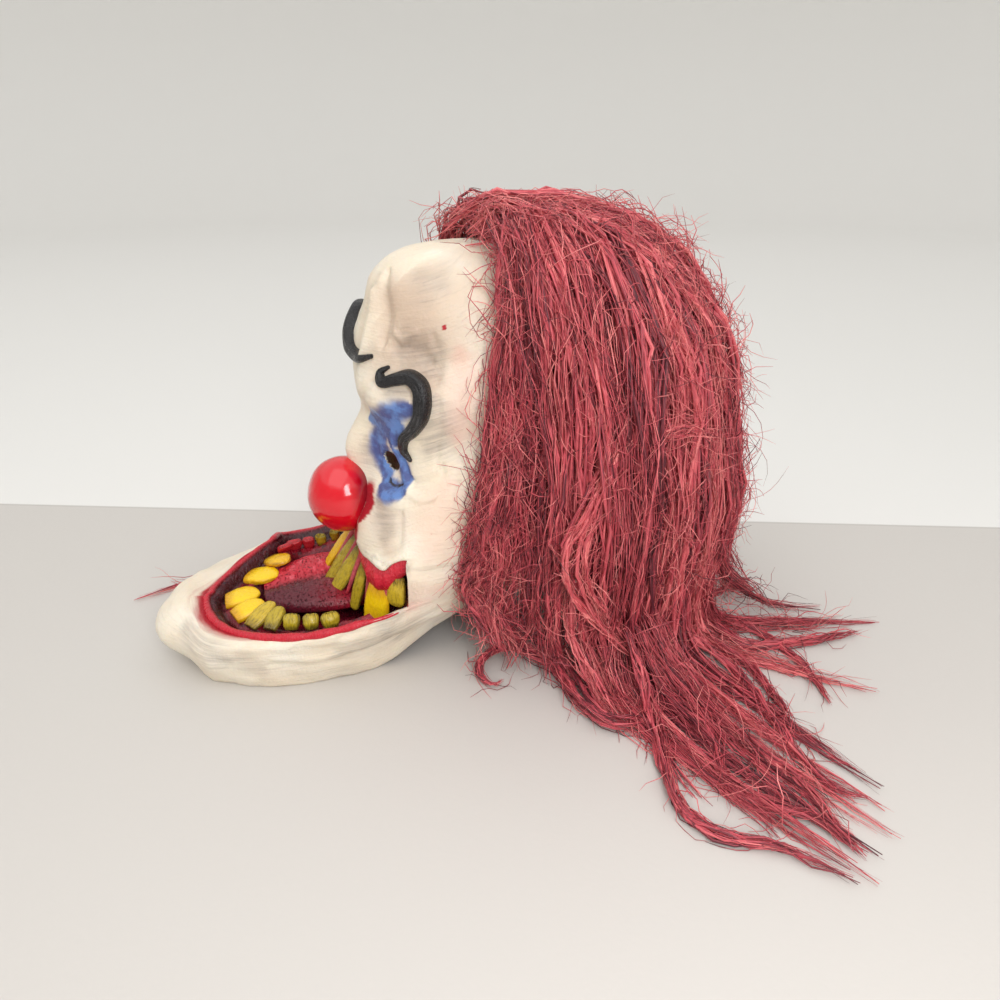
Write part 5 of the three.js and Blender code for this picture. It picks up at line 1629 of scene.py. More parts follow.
@dataclass(frozen=True)
class UpperGum:
    """The gum band under the upper lip, the palate, and the ribs between the teeth."""

    mouth: MouthForm
    steps: int = 180
    sides: int = 26
    lean: float = 6
    red: Array = paint_colour(196, 26, 48)
    lip_red: Array = paint_colour(214, 44, 62)
    maroon: Array = paint_colour(86, 12, 28)
    # The ribs' pale pink is partly their own colour, partly painted highlight
    rib_highlight_pink: Array = paint_colour(196, 84, 92)

    def band(self) -> Surface:
        """A rounded bar under the lip: its section is a tall oval, fuller at the front."""
        mouth = self.mouth
        centre, normal = mouth.gum_line(np.linspace(-0.985, 0.985, self.steps))
        angle = TURN * np.arange(self.sides) / self.sides
        out = signed_power(np.cos(angle), 0.75)[None]
        rise = signed_power(np.sin(angle), 0.7)[None]
        wave = Ripple(31, 22, 2)(centre)[:, None]
        reach = mouth.gum_depth / 2 * (1 + 0.10 * Ripple(32, 9, 2)(centre)[:, None])
        drop = mouth.gum_height * (0.14 - 0.84 * rise) + wave * 0.8
        side = out * reach - self.lean * np.maximum(rise, 0)
        ring = centre[:, None] + normal[:, None] * side[..., None]
        ring[..., 2] -= drop
        points = ring.reshape(-1, 3)
        ends = ring[[0, -1]].mean(axis=1)
        low = np.tile(ease(-0.2, 0.9, -np.sin(angle)), self.steps)
        # The inner side, facing into the mouth, darkens to maroon: painted shade
        inner = np.tile(ease(0.1, 0.7, -np.cos(angle)), self.steps)
        tone = mix(self.lip_red, self.red, low[:, None])
        tone = mix(tone, self.maroon, inner[:, None])
        # Dark blotches grow on the inner side, painted shade; pale streaks on the upper side are partly
        # painted sheen
        wear = np.stack([0.25 + 0.5 * inner, 0.85 * (1 - low), np.zeros_like(low)], -1)
        return Surface(
            np.concatenate([points, ends]),
            grid_quads(self.steps, self.sides, True)[:, ::-1],
            tip_fans(self.steps, self.sides, len(points), True),
            {
                "tone": np.concatenate([tone, [self.red] * 2]),
                "wear": np.concatenate([wear, [[0.5, 0.2, 0]] * 2]),
            },
        )

    def palate(self) -> Surface:
        """The roof between the two sides of the band, arched across the mouth."""
        rows, columns = 40, 36
        column = np.linspace(0.985, 0.06, rows)
        ends = [self.mouth.gum_line(side * column)[0] for side in (-1, 1)]
        share = np.linspace(0, 1, columns)[None, :, None]
        sheet = mix(ends[0][:, None], ends[1][:, None], share)
        arch = 3 * np.sin(np.pi * share[..., 0])
        sheet[..., 2] += -0.1 * self.mouth.gum_height + arch
        sheet[..., 2] += 0.8 * Ripple(33, 12, 2)(sheet)
        points = sheet.reshape(-1, 3)
        paint = {
            "tone": np.tile(self.maroon, (len(points), 1)),
            "wear": np.tile([0.7, 0.1, 0.0], (len(points), 1)),
        }
        return Surface(points, grid_quads(rows, columns, False)[:, ::-1], paint=paint).thickened(3.0)

    def ribs(self, teeth: "UpperTeeth") -> Surface:
        """Fleshy ribs that run down between neighbouring teeth and taper to a point."""
        frames = [teeth.axis(row) for row in teeth.rows.records()]
        stops = 18
        t = np.linspace(0, 1, stops)[:, None]
        paths, halves = [], []
        for one, two in zip(frames[:-1], frames[1:]):
            root, tip = (one[0] + two[0]) / 2, (one[1] + two[1]) / 2
            length = min(np.linalg.norm(one[1] - one[0]), np.linalg.norm(two[1] - two[0]))
            tip = root + unit(tip - root) * length * 0.9
            gap = np.linalg.norm(one[0] - two[0]) - (one[3] + two[3]) * 0.36
            paths.append(mix(root + np.array([0, 0, 5.0]), tip, t))
            width = np.clip(gap * 0.5, 1.4, 3.6)
            halves.append(width * (1 - 0.75 * t[:, 0] ** 2.2))
        paths, halves = np.array(paths), np.array(halves)
        ways = np.array([unit(two[0] - one[0]) for one, two in zip(frames[:-1], frames[1:])])
        # The ribs pale to pink along their middle: partly their own pink, partly painted highlight
        tone = mix(self.red, self.rib_highlight_pink, bump_at(t, 0.55, 0.3)[None]) * np.ones((len(paths), 1, 1))
        wear = np.ones((len(paths), stops, 1)) * np.array([0.35, 0.9, 0.0])
        made = tubes(paths, halves, 12, ways, tone=tone, wear=wear)
        del made.paint["grain"]
        return made

    def build(self, shop: Workshop, teeth: "UpperTeeth") -> None:
        """Makes the gum with its palate and ribs."""
        whole = Surface.joined([self.band(), self.palate(), self.ribs(teeth)])
        shop.piece("gum_band", whole, MouthPaint(), ["upper_gum"])


@dataclass(frozen=True)
class Tongue:
    """The two-lobed tongue on the tray's floor."""

    mouth: MouthForm
    length: float = 92
    width: float = 94
    height: float = 26
    aside: float = -9
    rows: int = 84
    sides: int = 96
    bright: Array = paint_colour(196, 34, 54)
    maroon: Array = paint_colour(92, 16, 34)
    red: Array = paint_colour(150, 22, 42)

    def build(self, shop: Workshop) -> None:
        """Oval sections along the tongue, with a sharp groove along the middle of the top."""
        middle = self.mouth.tray_middle
        t = np.linspace(0, 1, self.rows)[:, None]
        y = middle[1] + mix(-0.48, 0.52, t) * self.length
        half = self.width / 2 * np.sqrt(np.maximum(0.06, np.sin(np.pi * mix(0.06, 0.72, t))))
        angle = -TURN * np.arange(self.sides)[None] / self.sides
        c, s = np.cos(angle), np.sin(angle)
        top = np.maximum(s, 0)
        across = signed_power(c, 0.8)
        groove = 0.42 * np.exp(-((c / 0.10) ** 2)) + 0.22 * np.exp(-((c / 0.3) ** 2))
        lobe = self.height * (0.5 + 0.5 * signed_power(s, 0.8) * np.where(s > 0, 1 - groove, 0.6))
        low = self.mouth.floor + 5 + t * 1.5
        x = middle[0] + self.aside + half * across
        z = low + lobe * mix(0.75, 1, np.sin(np.pi * t))
        points = np.stack(np.broadcast_arrays(x, y, z), -1)
        bumps = Ripple(41, 9, 3)(points) * 0.5 + Ripple(42, 3.2, 2)(points) * 0.28
        points[..., 2] += bumps * top
        flat = points.reshape(-1, 3)
        ends = points[[0, -1]].mean(axis=1)
        far = np.broadcast_to(ease(0.10, -0.06, across), points.shape[:2])
        tip_red = ease(0.3, 0.9, t) * np.ones_like(across)
        tone = mix(mix(self.maroon, self.red, tip_red[..., None]), self.bright, far[..., None])
        # Painted shade: the tone darkens along the groove down the middle of the top
        dark = np.exp(-((c / 0.06) ** 2)) * top
        tone = tone * (1 - 0.75 * dark)[..., None]
        bright = (far * (0.75 + 0.25 * Ripple(43, 20, 2)(points))).reshape(-1)
        pad = Surface(
            np.concatenate([flat, ends]),
            grid_quads(self.rows, self.sides, True),
            tip_fans(self.rows, self.sides, len(flat)),
            {
                "tone": np.concatenate([tone.reshape(-1, 3), [self.red] * 2]),
                "bright": np.r_[np.clip(bright, 0, 1), 0, 0],
            },
        )
        shop.piece("tongue_pad", pad, TonguePaint(), ["tongue"])


class Glaze(Enum):
    """How a tooth is coloured: its face, its edge and how strongly it is stained."""

    BRIGHT = ((250, 208, 22), (206, 140, 20), 0.22)
    AMBER = ((236, 186, 30), (176, 112, 22), 0.4)
    OLIVE = ((186, 162, 40), (104, 84, 26), 0.85)
    DULL = ((206, 176, 48), (128, 100, 30), 0.75)
    GUMMED = ((190, 40, 50), (150, 24, 40), 0.35)


@dataclass(frozen=True)
class ToothShape:
    """One tooth: where it stands, how large it is and how it is glazed."""

    root: Array
    tip: Array
    across: Array
    width: float
    thickness: float
    glaze: Glaze
    pit: float = 0.0
    point: float = 0.0
    seed: int = 0
    rows: int = 30
    sides: int = 30

    def surface(self) -> Surface:
        """Oblong sections from root to tip that widen, then round off over the edge.

        The half width is a table of shares along the tooth, and the last rows close as
        a quarter circle. The edge and the faces are ridged a little along the tooth,
        and molars are pitted on top.
        """
        t = np.linspace(0, 1, self.rows)
        length = np.linalg.norm(self.tip - self.root)
        cap = np.clip(0.42 * self.width / length, 0.1, 0.45)
        round_off = np.sqrt(np.clip(1 - np.maximum((t - (1 - cap)) / cap, 0) ** 2.4, 0.0, 1))
        wide = np.interp(t, (0, 0.25, 0.6, 0.85, 1), (0.74, 0.92, 1.0, 0.98, 0.94)) * round_off
        wide = wide * (1 - self.point * ease(0.45, 1.0, t))
        deep = np.interp(t, (0, 0.4, 0.85, 1), (0.9, 1.0, 0.74, 0.62)) * round_off**0.8
        along = unit(self.tip - self.root)
        side = unit(self.across - along * (self.across @ along))
        up = np.cross(along, side)
        angle = TURN * np.arange(self.sides) / self.sides
        flat, tall = signed_power(np.cos(angle), 0.7), signed_power(np.sin(angle), 0.85)
        random = np.random.default_rng(self.seed)
        ripple = 1 + 0.035 * np.sin(5 * angle + random.uniform(0, TURN))[None] * ease(0.1, 0.5, t)[:, None]
        halves = wide[:, None] * self.width / 2 * ripple
        depths = deep[:, None] * self.thickness / 2 * ripple
        bow = 0.10 * self.thickness * np.sin(np.pi * t)[:, None, None] * np.sign(up[2]) * up
        ring = (
            mix(self.root, self.tip, t[:, None])[:, None]
            + bow
            + side * (halves * flat)[..., None]
            + up * (depths * tall)[..., None]
        )
        near = np.hypot(flat * halves / (self.width / 2), tall * depths / (self.thickness / 2))
        pits = self.pit * ease(0.86, 1.0, t)[:, None] * bump_at(near, 0.35, 0.3)
        ring = ring - along * (pits * 3.0)[..., None]
        points = ring.reshape(-1, 3)
        uneven = 0.14 * Ripple(self.seed + 50, 5, 2)(points)[:, None]
        points = points + unit(points - mix(self.root, self.tip, 0.5)) * uneven
        ends = np.stack([ring[0].mean(axis=0), ring[-1].mean(axis=0) - along * self.pit * 1.2])
        face, edge, stain = self.glaze.value
        edge_share = np.maximum(
            ease(0.72, 1.0, np.abs(np.cos(angle)))[None] * 0.55,
            ease(0.35, 0.0, t)[:, None] * 0.8,
        )
        tone = mix(linear(*face), linear(*edge), edge_share[..., None]).reshape(-1, 3)
        stains = np.clip(stain * (0.45 + 0.8 * edge_share + self.pit * ease(0.7, 1, t)[:, None]), 0, 1)
        grain = np.stack(
            [
                np.tile(np.cos(angle) * self.width / 2, self.rows) + 13 * self.seed,
                np.tile(np.sin(angle) * self.thickness / 2, self.rows),
                np.repeat(t * length, self.sides),
            ],
            -1,
        )
        return Surface(
            np.concatenate([points, ends]),
            grid_quads(self.rows, self.sides, True),
            tip_fans(self.rows, self.sides, len(points)),
            {
                "tone": np.concatenate([tone, [linear(*edge)] * 2]),
                "stain": np.r_[stains.reshape(-1), 1, min(1, 0.4 + self.pit)],
                "grain": np.concatenate([grain, grain[-2:]]),
            },
        )


@dataclass(frozen=True)
class LowerTeeth:
    """The teeth of the lower jaw, near back to far back."""

    mouth: MouthForm
    tooth_width: float = 16
    tooth_length: float = 28
    thickness: float = 7
    rows: Table = Table(
        "along out width length lean glaze pit point",
        (
            (0.82, 0.81, 0.95, 0.50, 18, Glaze.OLIVE, 1.0, 0),
            (0.72, 0.79, 0.82, 0.50, 20, Glaze.OLIVE, 1.0, 0),
            (0.61, 0.78, 0.88, 0.52, 26, Glaze.OLIVE, 0.8, 0),
            (0.49, 0.80, 0.95, 0.80, 62, Glaze.OLIVE, 0, 0.2),
            (0.365, 0.82, 1.15, 1.05, 70, Glaze.DULL, 0, 0.25),
            (0.21, 0.82, 1.50, 1.00, 80, Glaze.BRIGHT, 0, 0.2),
            (0.02, 0.83, 1.75, 1.05, 84, Glaze.BRIGHT, 0, 0.2),
            (-0.19, 0.86, 1.75, 1.05, 82, Glaze.BRIGHT, 0, 0.2),
            (-0.335, 0.87, 1.45, 0.95, 74, Glaze.AMBER, 0, 0.28),
            (-0.475, 0.82, 1.00, 0.50, 40, Glaze.GUMMED, 0.4, 0),
            (-0.7, 0.80, 0.98, 0.50, 30, Glaze.GUMMED, 0.6, 0),
            (-0.82, 0.80, 0.76, 0.48, 25, Glaze.GUMMED, 0.6, 0),
            (-0.893, 0.79, 0.68, 0.48, 22, Glaze.OLIVE, 1.0, 0),
            (-0.928, 0.79, 0.60, 0.48, 20, Glaze.OLIVE, 1.0, 0),
        ),
    )

    def build(self, shop: Workshop) -> None:
        """Seats each tooth on the gum ridge and leans it in over the tongue."""
        for i, row in enumerate(self.rows.records()):
            seat = self.mouth.tray_point(row["along"], row["out"])
            inward = level(self.mouth.tray_point(row["along"], row["out"] - 0.1) - seat)
            lean = math.radians(row["lean"])
            direction = inward * math.sin(lean) + np.array([0, 0, 1]) * math.cos(lean)
            root = seat - direction * 2 + np.array([0, 0, 1.5])
            shape = ToothShape(
                root,
                root + direction * row["length"] * self.tooth_length,
                np.cross(inward, [0, 0, 1]),
                row["width"] * self.tooth_width,
                self.thickness * (1.3 if row["lean"] < 40 or row["lean"] > 70 else 1.0),
                row["glaze"],
                row["pit"],
                row["point"],
                seed=i,
            )
            name = f"lower_tooth_{i + 1:02d}"
            shop.piece("jaw_" + name, shape.surface(), ToothPaint(), [name])


@dataclass(frozen=True)
class UpperTeeth:
    """The teeth of the upper jaw, near to far: long slanted ones in front."""

    mouth: MouthForm
    tooth_width: float = 16
    tooth_length: float = 48
    thickness: float = 7
    seat_depth: float = 0.78
    rows: Table = Table(
        "along width length lean twist glaze point",
        (
            (0.77, 1.10, 0.58, 6, 14, Glaze.DULL, 0),
            (0.47, 1.55, 0.88, 8, 28, Glaze.BRIGHT, 0),
            (0.26, 0.75, 1.00, 18, 30, Glaze.OLIVE, 0.15),
            (0.10, 1.00, 1.28, 36, 35, Glaze.OLIVE, 0.25),
            (-0.05, 1.10, 1.25, 38, 30, Glaze.OLIVE, 0.2),
            (-0.21, 0.90, 1.05, 38, 20, Glaze.AMBER, 0.2),
            (-0.37, 0.90, 0.90, 26, -10, Glaze.DULL, 0.2),
            (-0.56, 1.15, 0.78, 8, -10, Glaze.AMBER, 0.05),
            (-0.79, 1.00, 0.56, 6, -8, Glaze.DULL, 0),
        ),
    )

    def axis(self, row: dict) -> tuple[Array, Array, Array, float]:
        """A tooth's root, tip, across way and width, hanging from the gum band."""
        seat, normal = (part[0] for part in self.mouth.gum_line(np.array([row["along"]])))
        seat[2] -= self.mouth.gum_height * self.seat_depth
        turn = Matrix.Rotation(math.radians(row["twist"]), 3, "Z")
        across = np.array(turn @ Vector(np.cross(normal, [0, 0, 1])))
        forward = unit(mix(np.array([0.0, -1.0, 0.0]), normal, 0.5))
        lean = math.radians(row["lean"])
        direction = forward * math.sin(lean) - np.array([0, 0, 1]) * math.cos(lean)
        tip = seat + direction * row["length"] * self.tooth_length
        return seat, tip, across, row["width"] * self.tooth_width

    def build(self, shop: Workshop) -> None:
        """Hangs each tooth from the gum band."""
        for i, row in enumerate(self.rows.records()):
            root, tip, across, width = self.axis(row)
            shape = ToothShape(
                root, tip, across, width, self.thickness, row["glaze"], 0.0, row["point"], seed=i + 20
            )
            name = f"upper_tooth_{i + 1:02d}"
            shop.piece("gum_" + name, shape.surface(), ToothPaint(), [name])


# Hair


@dataclass(frozen=True)
class Guide:
    """A smooth line that strands follow, with its width and depth along it."""

    points: Array
    half: Array
    deep: Array

    def at(self, t: Array) -> tuple[Array, Array, Array, Array, Array]:
        """The line's place, side way, up way, half width and half depth at shares t."""
        knots = np.linspace(0, 1, len(self.points))
        along = unit(np.gradient(self.points, axis=0))
        side = unit(np.stack([-self.points[:, 1], self.points[:, 0], np.zeros(len(knots))], -1))
        side = unit(side - along * np.sum(side * along, -1, keepdims=True))
        up = np.cross(along, side)
        half = np.interp(t, knots, self.half)
        deep = np.interp(t, knots, self.deep)
        return (*(read_along(t, knots, part) for part in (self.points, side, up)), half, deep)


@dataclass(frozen=True)
class Hair:
    """The long crimson hair: a mass dark with painted shade, strands, fine fibres and stray curls.

    A load says how many strands, fine fibres and crimped fibres lie round one line,
    and in how many clumps they gather.
    """

    head: HeadForm
    room: tuple = ((-136, -366, 0), (384, 324, 372))
    reach: float = 275
    lift: float = 30
    lock_width: float = 34
    lock_depth: float = 22
    pad: float = 13
    strand_half: float = 1.35
    fibre_half: float = 0.42
    kink_half: float = 0.33
    stray_half: float = 0.26
    strand_stops: int = 21
    fibre_stops: int = 19
    kink_stops: int = 9
    stray_stops: int = 12
    line_stops: int = 72
    lock_load: tuple = (14, 50, 120, 4)
    edge_load: tuple = (8, 30, 50, 3)
    swirl_load: tuple = (18, 50, 110, 4)
    rope_load: tuple = (9, 26, 24, 3)
    locks: Table = Table(
        "turn foot tail wide",
        (
            (112, (0.360, -0.190, 0.24), (), 0.85),
            (116, (0.405, -0.080, 0.12), ((0.42, -0.15, 0),), 1.00),
            (120, (0.470, 0.020, 0.03), ((0.62, 0.08, 0),), 1.10),
            (124, (0.520, 0.110, 0.03), ((0.78, 0.15, 0), (1.06, 0.17, 0)), 1.10),
            (128, (0.550, 0.200, 0.03), ((0.90, 0.22, 0), (1.36, 0.42, 0)), 1.15),
            (134, (0.535, 0.310, 0.03), ((0.88, 0.38, 0), (1.28, 0.54, 0)), 1.10),
            (142, (0.490, 0.430, 0.03), ((0.82, 0.52, 0), (1.14, 0.62, 0)), 1.05),
            (150, (0.390, 0.590, 0.03), ((0.48, 0.86, 0), (0.56, 1.15, 0)), 1.15),
            (164, (0.240, 0.740, 0.03), ((0.32, 0.88, 0),), 1.35),
            (179, (0.060, 0.870, 0.03), (), 1.25),
            (194, (-0.090, 0.770, 0.03), (), 1.40),
            (208, (-0.215, 0.610, 0.03), (), 1.45),
            (222, (-0.315, 0.420, 0.03), (), 1.45),
            (238, (-0.390, 0.220, 0.03), (), 1.40),
            (252, (-0.415, 0.040, 0.03), (), 1.35),
            (262, (-0.390, -0.120, 0.06), ((-0.45, -0.60, 0), (-0.43, -1.05, 0), (-0.36, -1.30, 0)), 0.70),
        ),
    )
    swings: tuple = ((260, 0.22), (120, 0.16), (62, 0.07))
    frizz: tuple = ((90, 1.4), (44, 1.0), (24, 0.5))
    ropes: Table = Table(
        "wide deep way",
        (
            (9, 7, ((150, 50, 60), (176, 58, 20), (231, 43, 6), (268, 32, 5), (294, 31, 5),
                    (313, 45, 5), (329, 71, 5), (349, 90, 5), (367, 103, 5))),
            (10, 7, ((150, 60, 60), (180, 70, 20), (234, 84, 6), (266, 70, 5), (286, 75, 5),
                     (301, 92, 5), (318, 107, 5), (341, 115, 5), (358, 119, 5))),
            (20, 10, ((140, 70, 70), (178, 84, 24), (233, 98, 8), (267, 105, 7), (299, 114, 6),
                      (330, 117, 5), (355, 121, 5))),
            (7, 5, ((100, 100, 50), (121, 121, 18), (166, 143, 6), (218, 141, 5), (276, 133, 5),
                    (306, 138, 5), (319, 155, 5))),
            (6, 5, ((90, 120, 50), (110, 138, 18), (137, 147, 7), (171, 160, 5), (216, 156, 5),
                    (246, 148, 5))),
            (9, 6, ((70, 130, 50), (86, 141, 18), (110, 164, 7), (145, 173, 6), (156, 207, 6),
                    (160, 265, 5), (162, 297, 5))),
            (4, 3, ((80, 145, 40), (92, 160, 14), (108, 182, 6), (138, 199, 4), (171, 206, 4),
                    (199, 204, 4), (235, 195, 4))),
            (6, 4, ((60, 130, 50), (78, 146, 14), (74, 176, 6), (62, 213, 5), (54, 249, 4))),
            (6, 5, ((120, 10, 30), (110, -7, 12), (88, -27, 8), (95, -52, 7), (113, -62, 6),
                    (129, -54, 5), (124, -42, 5))),
            (22, 14, ((80, -20, 50), (99, -17, 22), (128, 5, 10), (174, 7, 8), (202, 20, 7),
                      (206, 49, 6))),
        ),
    )
    swirls: Table = Table(
        "wide deep way",
        (
            (26, 12, ((-20, -48, 340), (0, -20, 362), (14, 20, 371), (30, 72, 362), (44, 124, 334),
                      (50, 172, 276), (60, 205, 200))),
            (28, 12, ((20, -42, 338), (44, -10, 356), (66, 34, 352), (84, 84, 326), (96, 128, 280),
                      (104, 150, 220))),
            (26, 12, ((52, -34, 326), (82, 4, 330), (104, 48, 312), (120, 84, 280), (130, 100, 230),
                      (134, 96, 180))),
            (22, 10, ((72, -30, 300), (106, 8, 292), (124, 44, 262), (132, 60, 232), (124, 84, 214))),
            (18, 10, ((96, -26, 240), (124, 14, 226), (138, 52, 214), (140, 92, 214), (130, 120, 206))),
            (24, 12, ((112, 70, 300), (136, 56, 238), (146, 24, 180), (148, 4, 120), (150, 30, 62),
                      (162, 60, 26))),
        ),
    )
    hairline: Table = Table(
        "height y",
        (
            (0.20, -0.50),
            (0.30, -0.52),
            (0.43, -0.46),
            (0.576, -0.38),
            (0.691, -0.28),
            (0.822, -0.19),
            (0.923, -0.15),
            (0.97, -0.17),
        ),
    )

    def lock_line(self, row: dict) -> Guide:
        """A lock's line: up off the crown, a quarter oval down to its foot, then its tail."""
        root_z = 0.985 * self.head.height
        section = self.head.section(np.array(root_z))
        root = self.head.outline(section, np.radians(row["turn"]), np.array(root_z + self.pad * 0.5))
        crest = root + np.array([0, 0, self.lift * 0.5])
        deep = row["wide"] * self.lock_depth / 2
        foot = np.array(row["foot"]) * self.reach + np.array([0, 0, deep * 0.3])
        far = float(ease(0.4, 1.0, np.hypot(row["foot"][0], row["foot"][1])))
        round_by = mix(0.5, 1.0, far)
        angle = np.radians(10 + 80 * np.arange(1, 7) / 6)
        down = np.sin(angle) ** round_by
        bow = mix(1 - np.cos(angle), down, float(ease(0.0, 0.3, far)))
        fall = np.stack(
            [
                mix(crest[0], foot[0], down),
                mix(crest[1], foot[1], bow),
                mix(foot[2], crest[2], np.cos(angle) ** round_by),
            ],
            -1,
        )
        tail = [np.array(share) * self.reach + np.array([0, 0, deep * 0.3]) for share in row["tail"]]
        line = smooth_path(np.concatenate([[root, crest], fall] + [[p] for p in tail]), self.line_stops)
        t = np.linspace(0, 1, self.line_stops)
        taper = mix(1, 0.16 if tail else 0.55, t**1.6) * np.minimum(1, 0.5 + 4 * t)
        return Guide(line, row["wide"] * self.lock_width / 2 * taper, deep * taper)

    def between(self, a: Guide, b: Guide, share: float) -> Guide:
        """A line part of the way from one guide to the next."""
        return Guide(mix(a.points, b.points, share), mix(a.half, b.half, share), mix(a.deep, b.deep, share))

    def edge_line(self, start: float, out: float, foot: Sequence[float]) -> Guide:
        """A line that leaves the hairline at a height and falls along the side of the face.

        Args:
            start: its height at the hairline, as a share of the head's.
            out: how far it bows off the face.
            foot: where it ends, in shares of the reach.

        Returns:
            The line, with its width and depth.
        """
        height = self.hairline.column("height")
        depth = self.hairline.column("y")
        levels = np.linspace(start, 0.24, 7)
        z = levels * self.head.height
        y = np.interp(levels, height, depth) * self.head.face_reach + 6
        section = self.head.section(z)
        side = self.head.outline(section, self.head.turn_at_depth(section, y), z)
        bow = np.sin(np.pi * np.linspace(0.05, 0.9, len(levels)))
        side[:, 0] += 3 + out * bow
        side[:, 1] += out * 0.7 * bow
        line = np.concatenate([side, [np.array(foot) * self.reach]])
        t = np.linspace(0, 1, self.line_stops)
        width = 9 * np.minimum(1, 0.35 + 3 * t)
        return Guide(smooth_path(line, self.line_stops), width, width * 0.7)

    def strand_paths(
        self,
        random: np.random.Generator,
        guide: Guide,
        count: int,
        stops: int,
        clumps: int,
        loose: float,
        span: tuple = (0.12, 0.82),
    ) -> Array:
        """Many lines round one guide, gathered in clumps.

        Each clump keeps its own place in the guide's section and swings by a sum of
        sines of rising pitch; each line keeps near its clump, with its own sines.

        Args:
            random: the source of the draws.
            guide: the line to follow.
            count, stops: how many lines, and places on each.
            clumps: how many clumps they gather in.
            loose: how far a line strays from its clump, as a share of the section.
            span: the latest start and the earliest end, as shares of the guide.

        Returns:
            The places, count x stops x 3.
        """
        start = random.uniform(0, span[0], count)
        end = random.uniform(span[1], 1.0, count)
        t = mix(start[:, None], end[:, None], np.linspace(0, 1, stops)[None])
        place, side, up, half, deep = guide.at(t)
        length = np.linalg.norm(np.diff(guide.points, axis=0), axis=1).sum()
        member = random.integers(0, clumps, count)
        angle = random.uniform(0, TURN, clumps)
        reach = random.uniform(0.3, 1.0, clumps) ** 0.5
        spot = np.stack([np.cos(angle) * reach, np.sin(angle) * reach])
        offset = np.empty((2, count, stops))
        for axis in range(2):
            own = spot[axis][member][:, None] + random.normal(0, loose, (count, 1)) * mix(1, 0.6, t)
            offset[axis] = own + random.normal(0, 0.25, clumps)[member][:, None] * (t - 0.3)
            for pitch, size in self.swings:
                rate = TURN * length / (pitch * random.uniform(0.75, 1.35, clumps))
                phase = random.uniform(0, TURN, clumps)
                offset[axis] += size * np.sin(rate[member][:, None] * t + phase[member][:, None])
        waves = np.zeros((2, count, stops))
        for pitch, size in self.frizz:
            for axis in range(2):
                rate = TURN * length / (pitch * random.uniform(0.7, 1.4, (count, 1)))
                waves[axis] += size * np.sin(rate * t + random.uniform(0, TURN, (count, 1)))
        path = place + side * (half * offset[0] + waves[0])[..., None]
        path = path + up * (deep * offset[1] + waves[1])[..., None]
        path[..., 2] = np.maximum(path[..., 2], random.uniform(0.5, 2.5, (count, 1)))
        return path

    def kinks(self, random: np.random.Generator, guide: Guide, count: int) -> Array:
        """Short crimped fibres over a guide's outer side, crossing its run at random.

        Each is a straight line of its own length with sines of three pitches on it.
        """
        t = random.uniform(0.02, 0.92, count)
        place, side, up, half, deep = guide.at(t)
        angle = random.uniform(-0.35, np.pi + 0.35, count)
        reach = random.uniform(0.75, 1.2, count)
        middle = place + side * (half * reach * np.cos(angle))[:, None]
        middle = middle + up * (deep * reach * np.sin(angle))[:, None]
        knots = np.linspace(0, 1, len(guide.points))
        along = unit(np.gradient(guide.points, axis=0))
        way = unit(read_along(t, knots, along) + random.normal(0, 0.42, (count, 3)))
        a = unit(np.cross(way, random.normal(size=(count, 3))))
        b = np.cross(way, a)
        size = random.uniform(28, 90, (count, 1))
        s = np.linspace(-0.5, 0.5, self.kink_stops)[None]
        path = middle[:, None] + way[:, None] * (size * s)[..., None]
        for pitch, height in ((70, 5.0), (30, 2.0), (14, 0.8)):
            for axis in (a, b):
                phase = random.uniform(0, TURN, (count, 1))
                rate = TURN * size / (pitch * random.uniform(0.7, 1.4, (count, 1)))
                wave = height * random.uniform(0.4, 1.3, (count, 1)) * np.sin(rate * s + phase)
                path = path + axis[:, None] * wave[..., None]
        path[..., 2] = np.maximum(path[..., 2], 0.6)
        return path

    def rope_line(self, row: dict) -> Guide:
        """A thin tail's line through its own places, from the gathered hair outwards."""
        line = smooth_path(np.array(row["way"], float), self.line_stops)
        t = np.linspace(0, 1, self.line_stops)
        taper = np.minimum(1, 0.6 + 3 * t) * (1 - 0.7 * t**2)
        return Guide(line, row["wide"] / 2 * taper, row["deep"] / 2 * taper)

    def fibres(
        self, random: np.random.Generator, paths: Array, half: float, sides: int, tint: Array
    ) -> Surface:
        """Tapered tubes along the lines, with their tints; lines past the room are left out."""
        low, high = np.array(self.room)
        held = np.all((paths > low) & (paths < high), axis=(1, 2))
        paths, tint = paths[held], tint[held]
        count, stops = paths.shape[:2]
        t = np.linspace(0, 1, stops)
        taper = np.minimum(1, 0.4 + 6 * t) * (1 - 0.8 * t**6)
        halves = half * random.uniform(0.7, 1.3, (count, 1)) * taper[None]
        ways = unit(random.normal(size=(count, 3)))
        tints = tint[:, None] + 0.08 * np.sin(TURN * t * 2 + random.uniform(0, TURN, (count, 1)))
        made = tubes(paths, halves, sides, ways, tint=np.clip(tints, 0, 1))
        made.paint["grain"][:, 0] += np.repeat(random.uniform(0, 500, count), stops * sides)
        made.points[:, 2] = np.maximum(made.points[:, 2], 0.1)
        return made

    def mass(self, guides: list[Guide]) -> Surface:
        """The bulk under the strands, dark as painted shade deep in the hair: a curtain through the guides,
        set inwards.
        """
        rows = 40
        t = np.linspace(0.0, 0.62, rows)
        fine = []
        for one, two in zip(guides[:-1], guides[1:]):
            for share in np.linspace(0, 1, 6, endpoint=False):
                place, _, _, _, deep = self.between(one, two, share).at(t)
                fine.append(place - level(place) * (deep * 0.7)[:, None])
        sheet = np.array(fine)
        sheet[..., 2] = np.maximum(sheet[..., 2] - 6, 3)
        points = sheet.reshape(-1, 3)
        points = points + 1.6 * Ripple(71, 18, 2)(points)[:, None] * level(points)
        points[:, 2] = np.maximum(points[:, 2], 3)
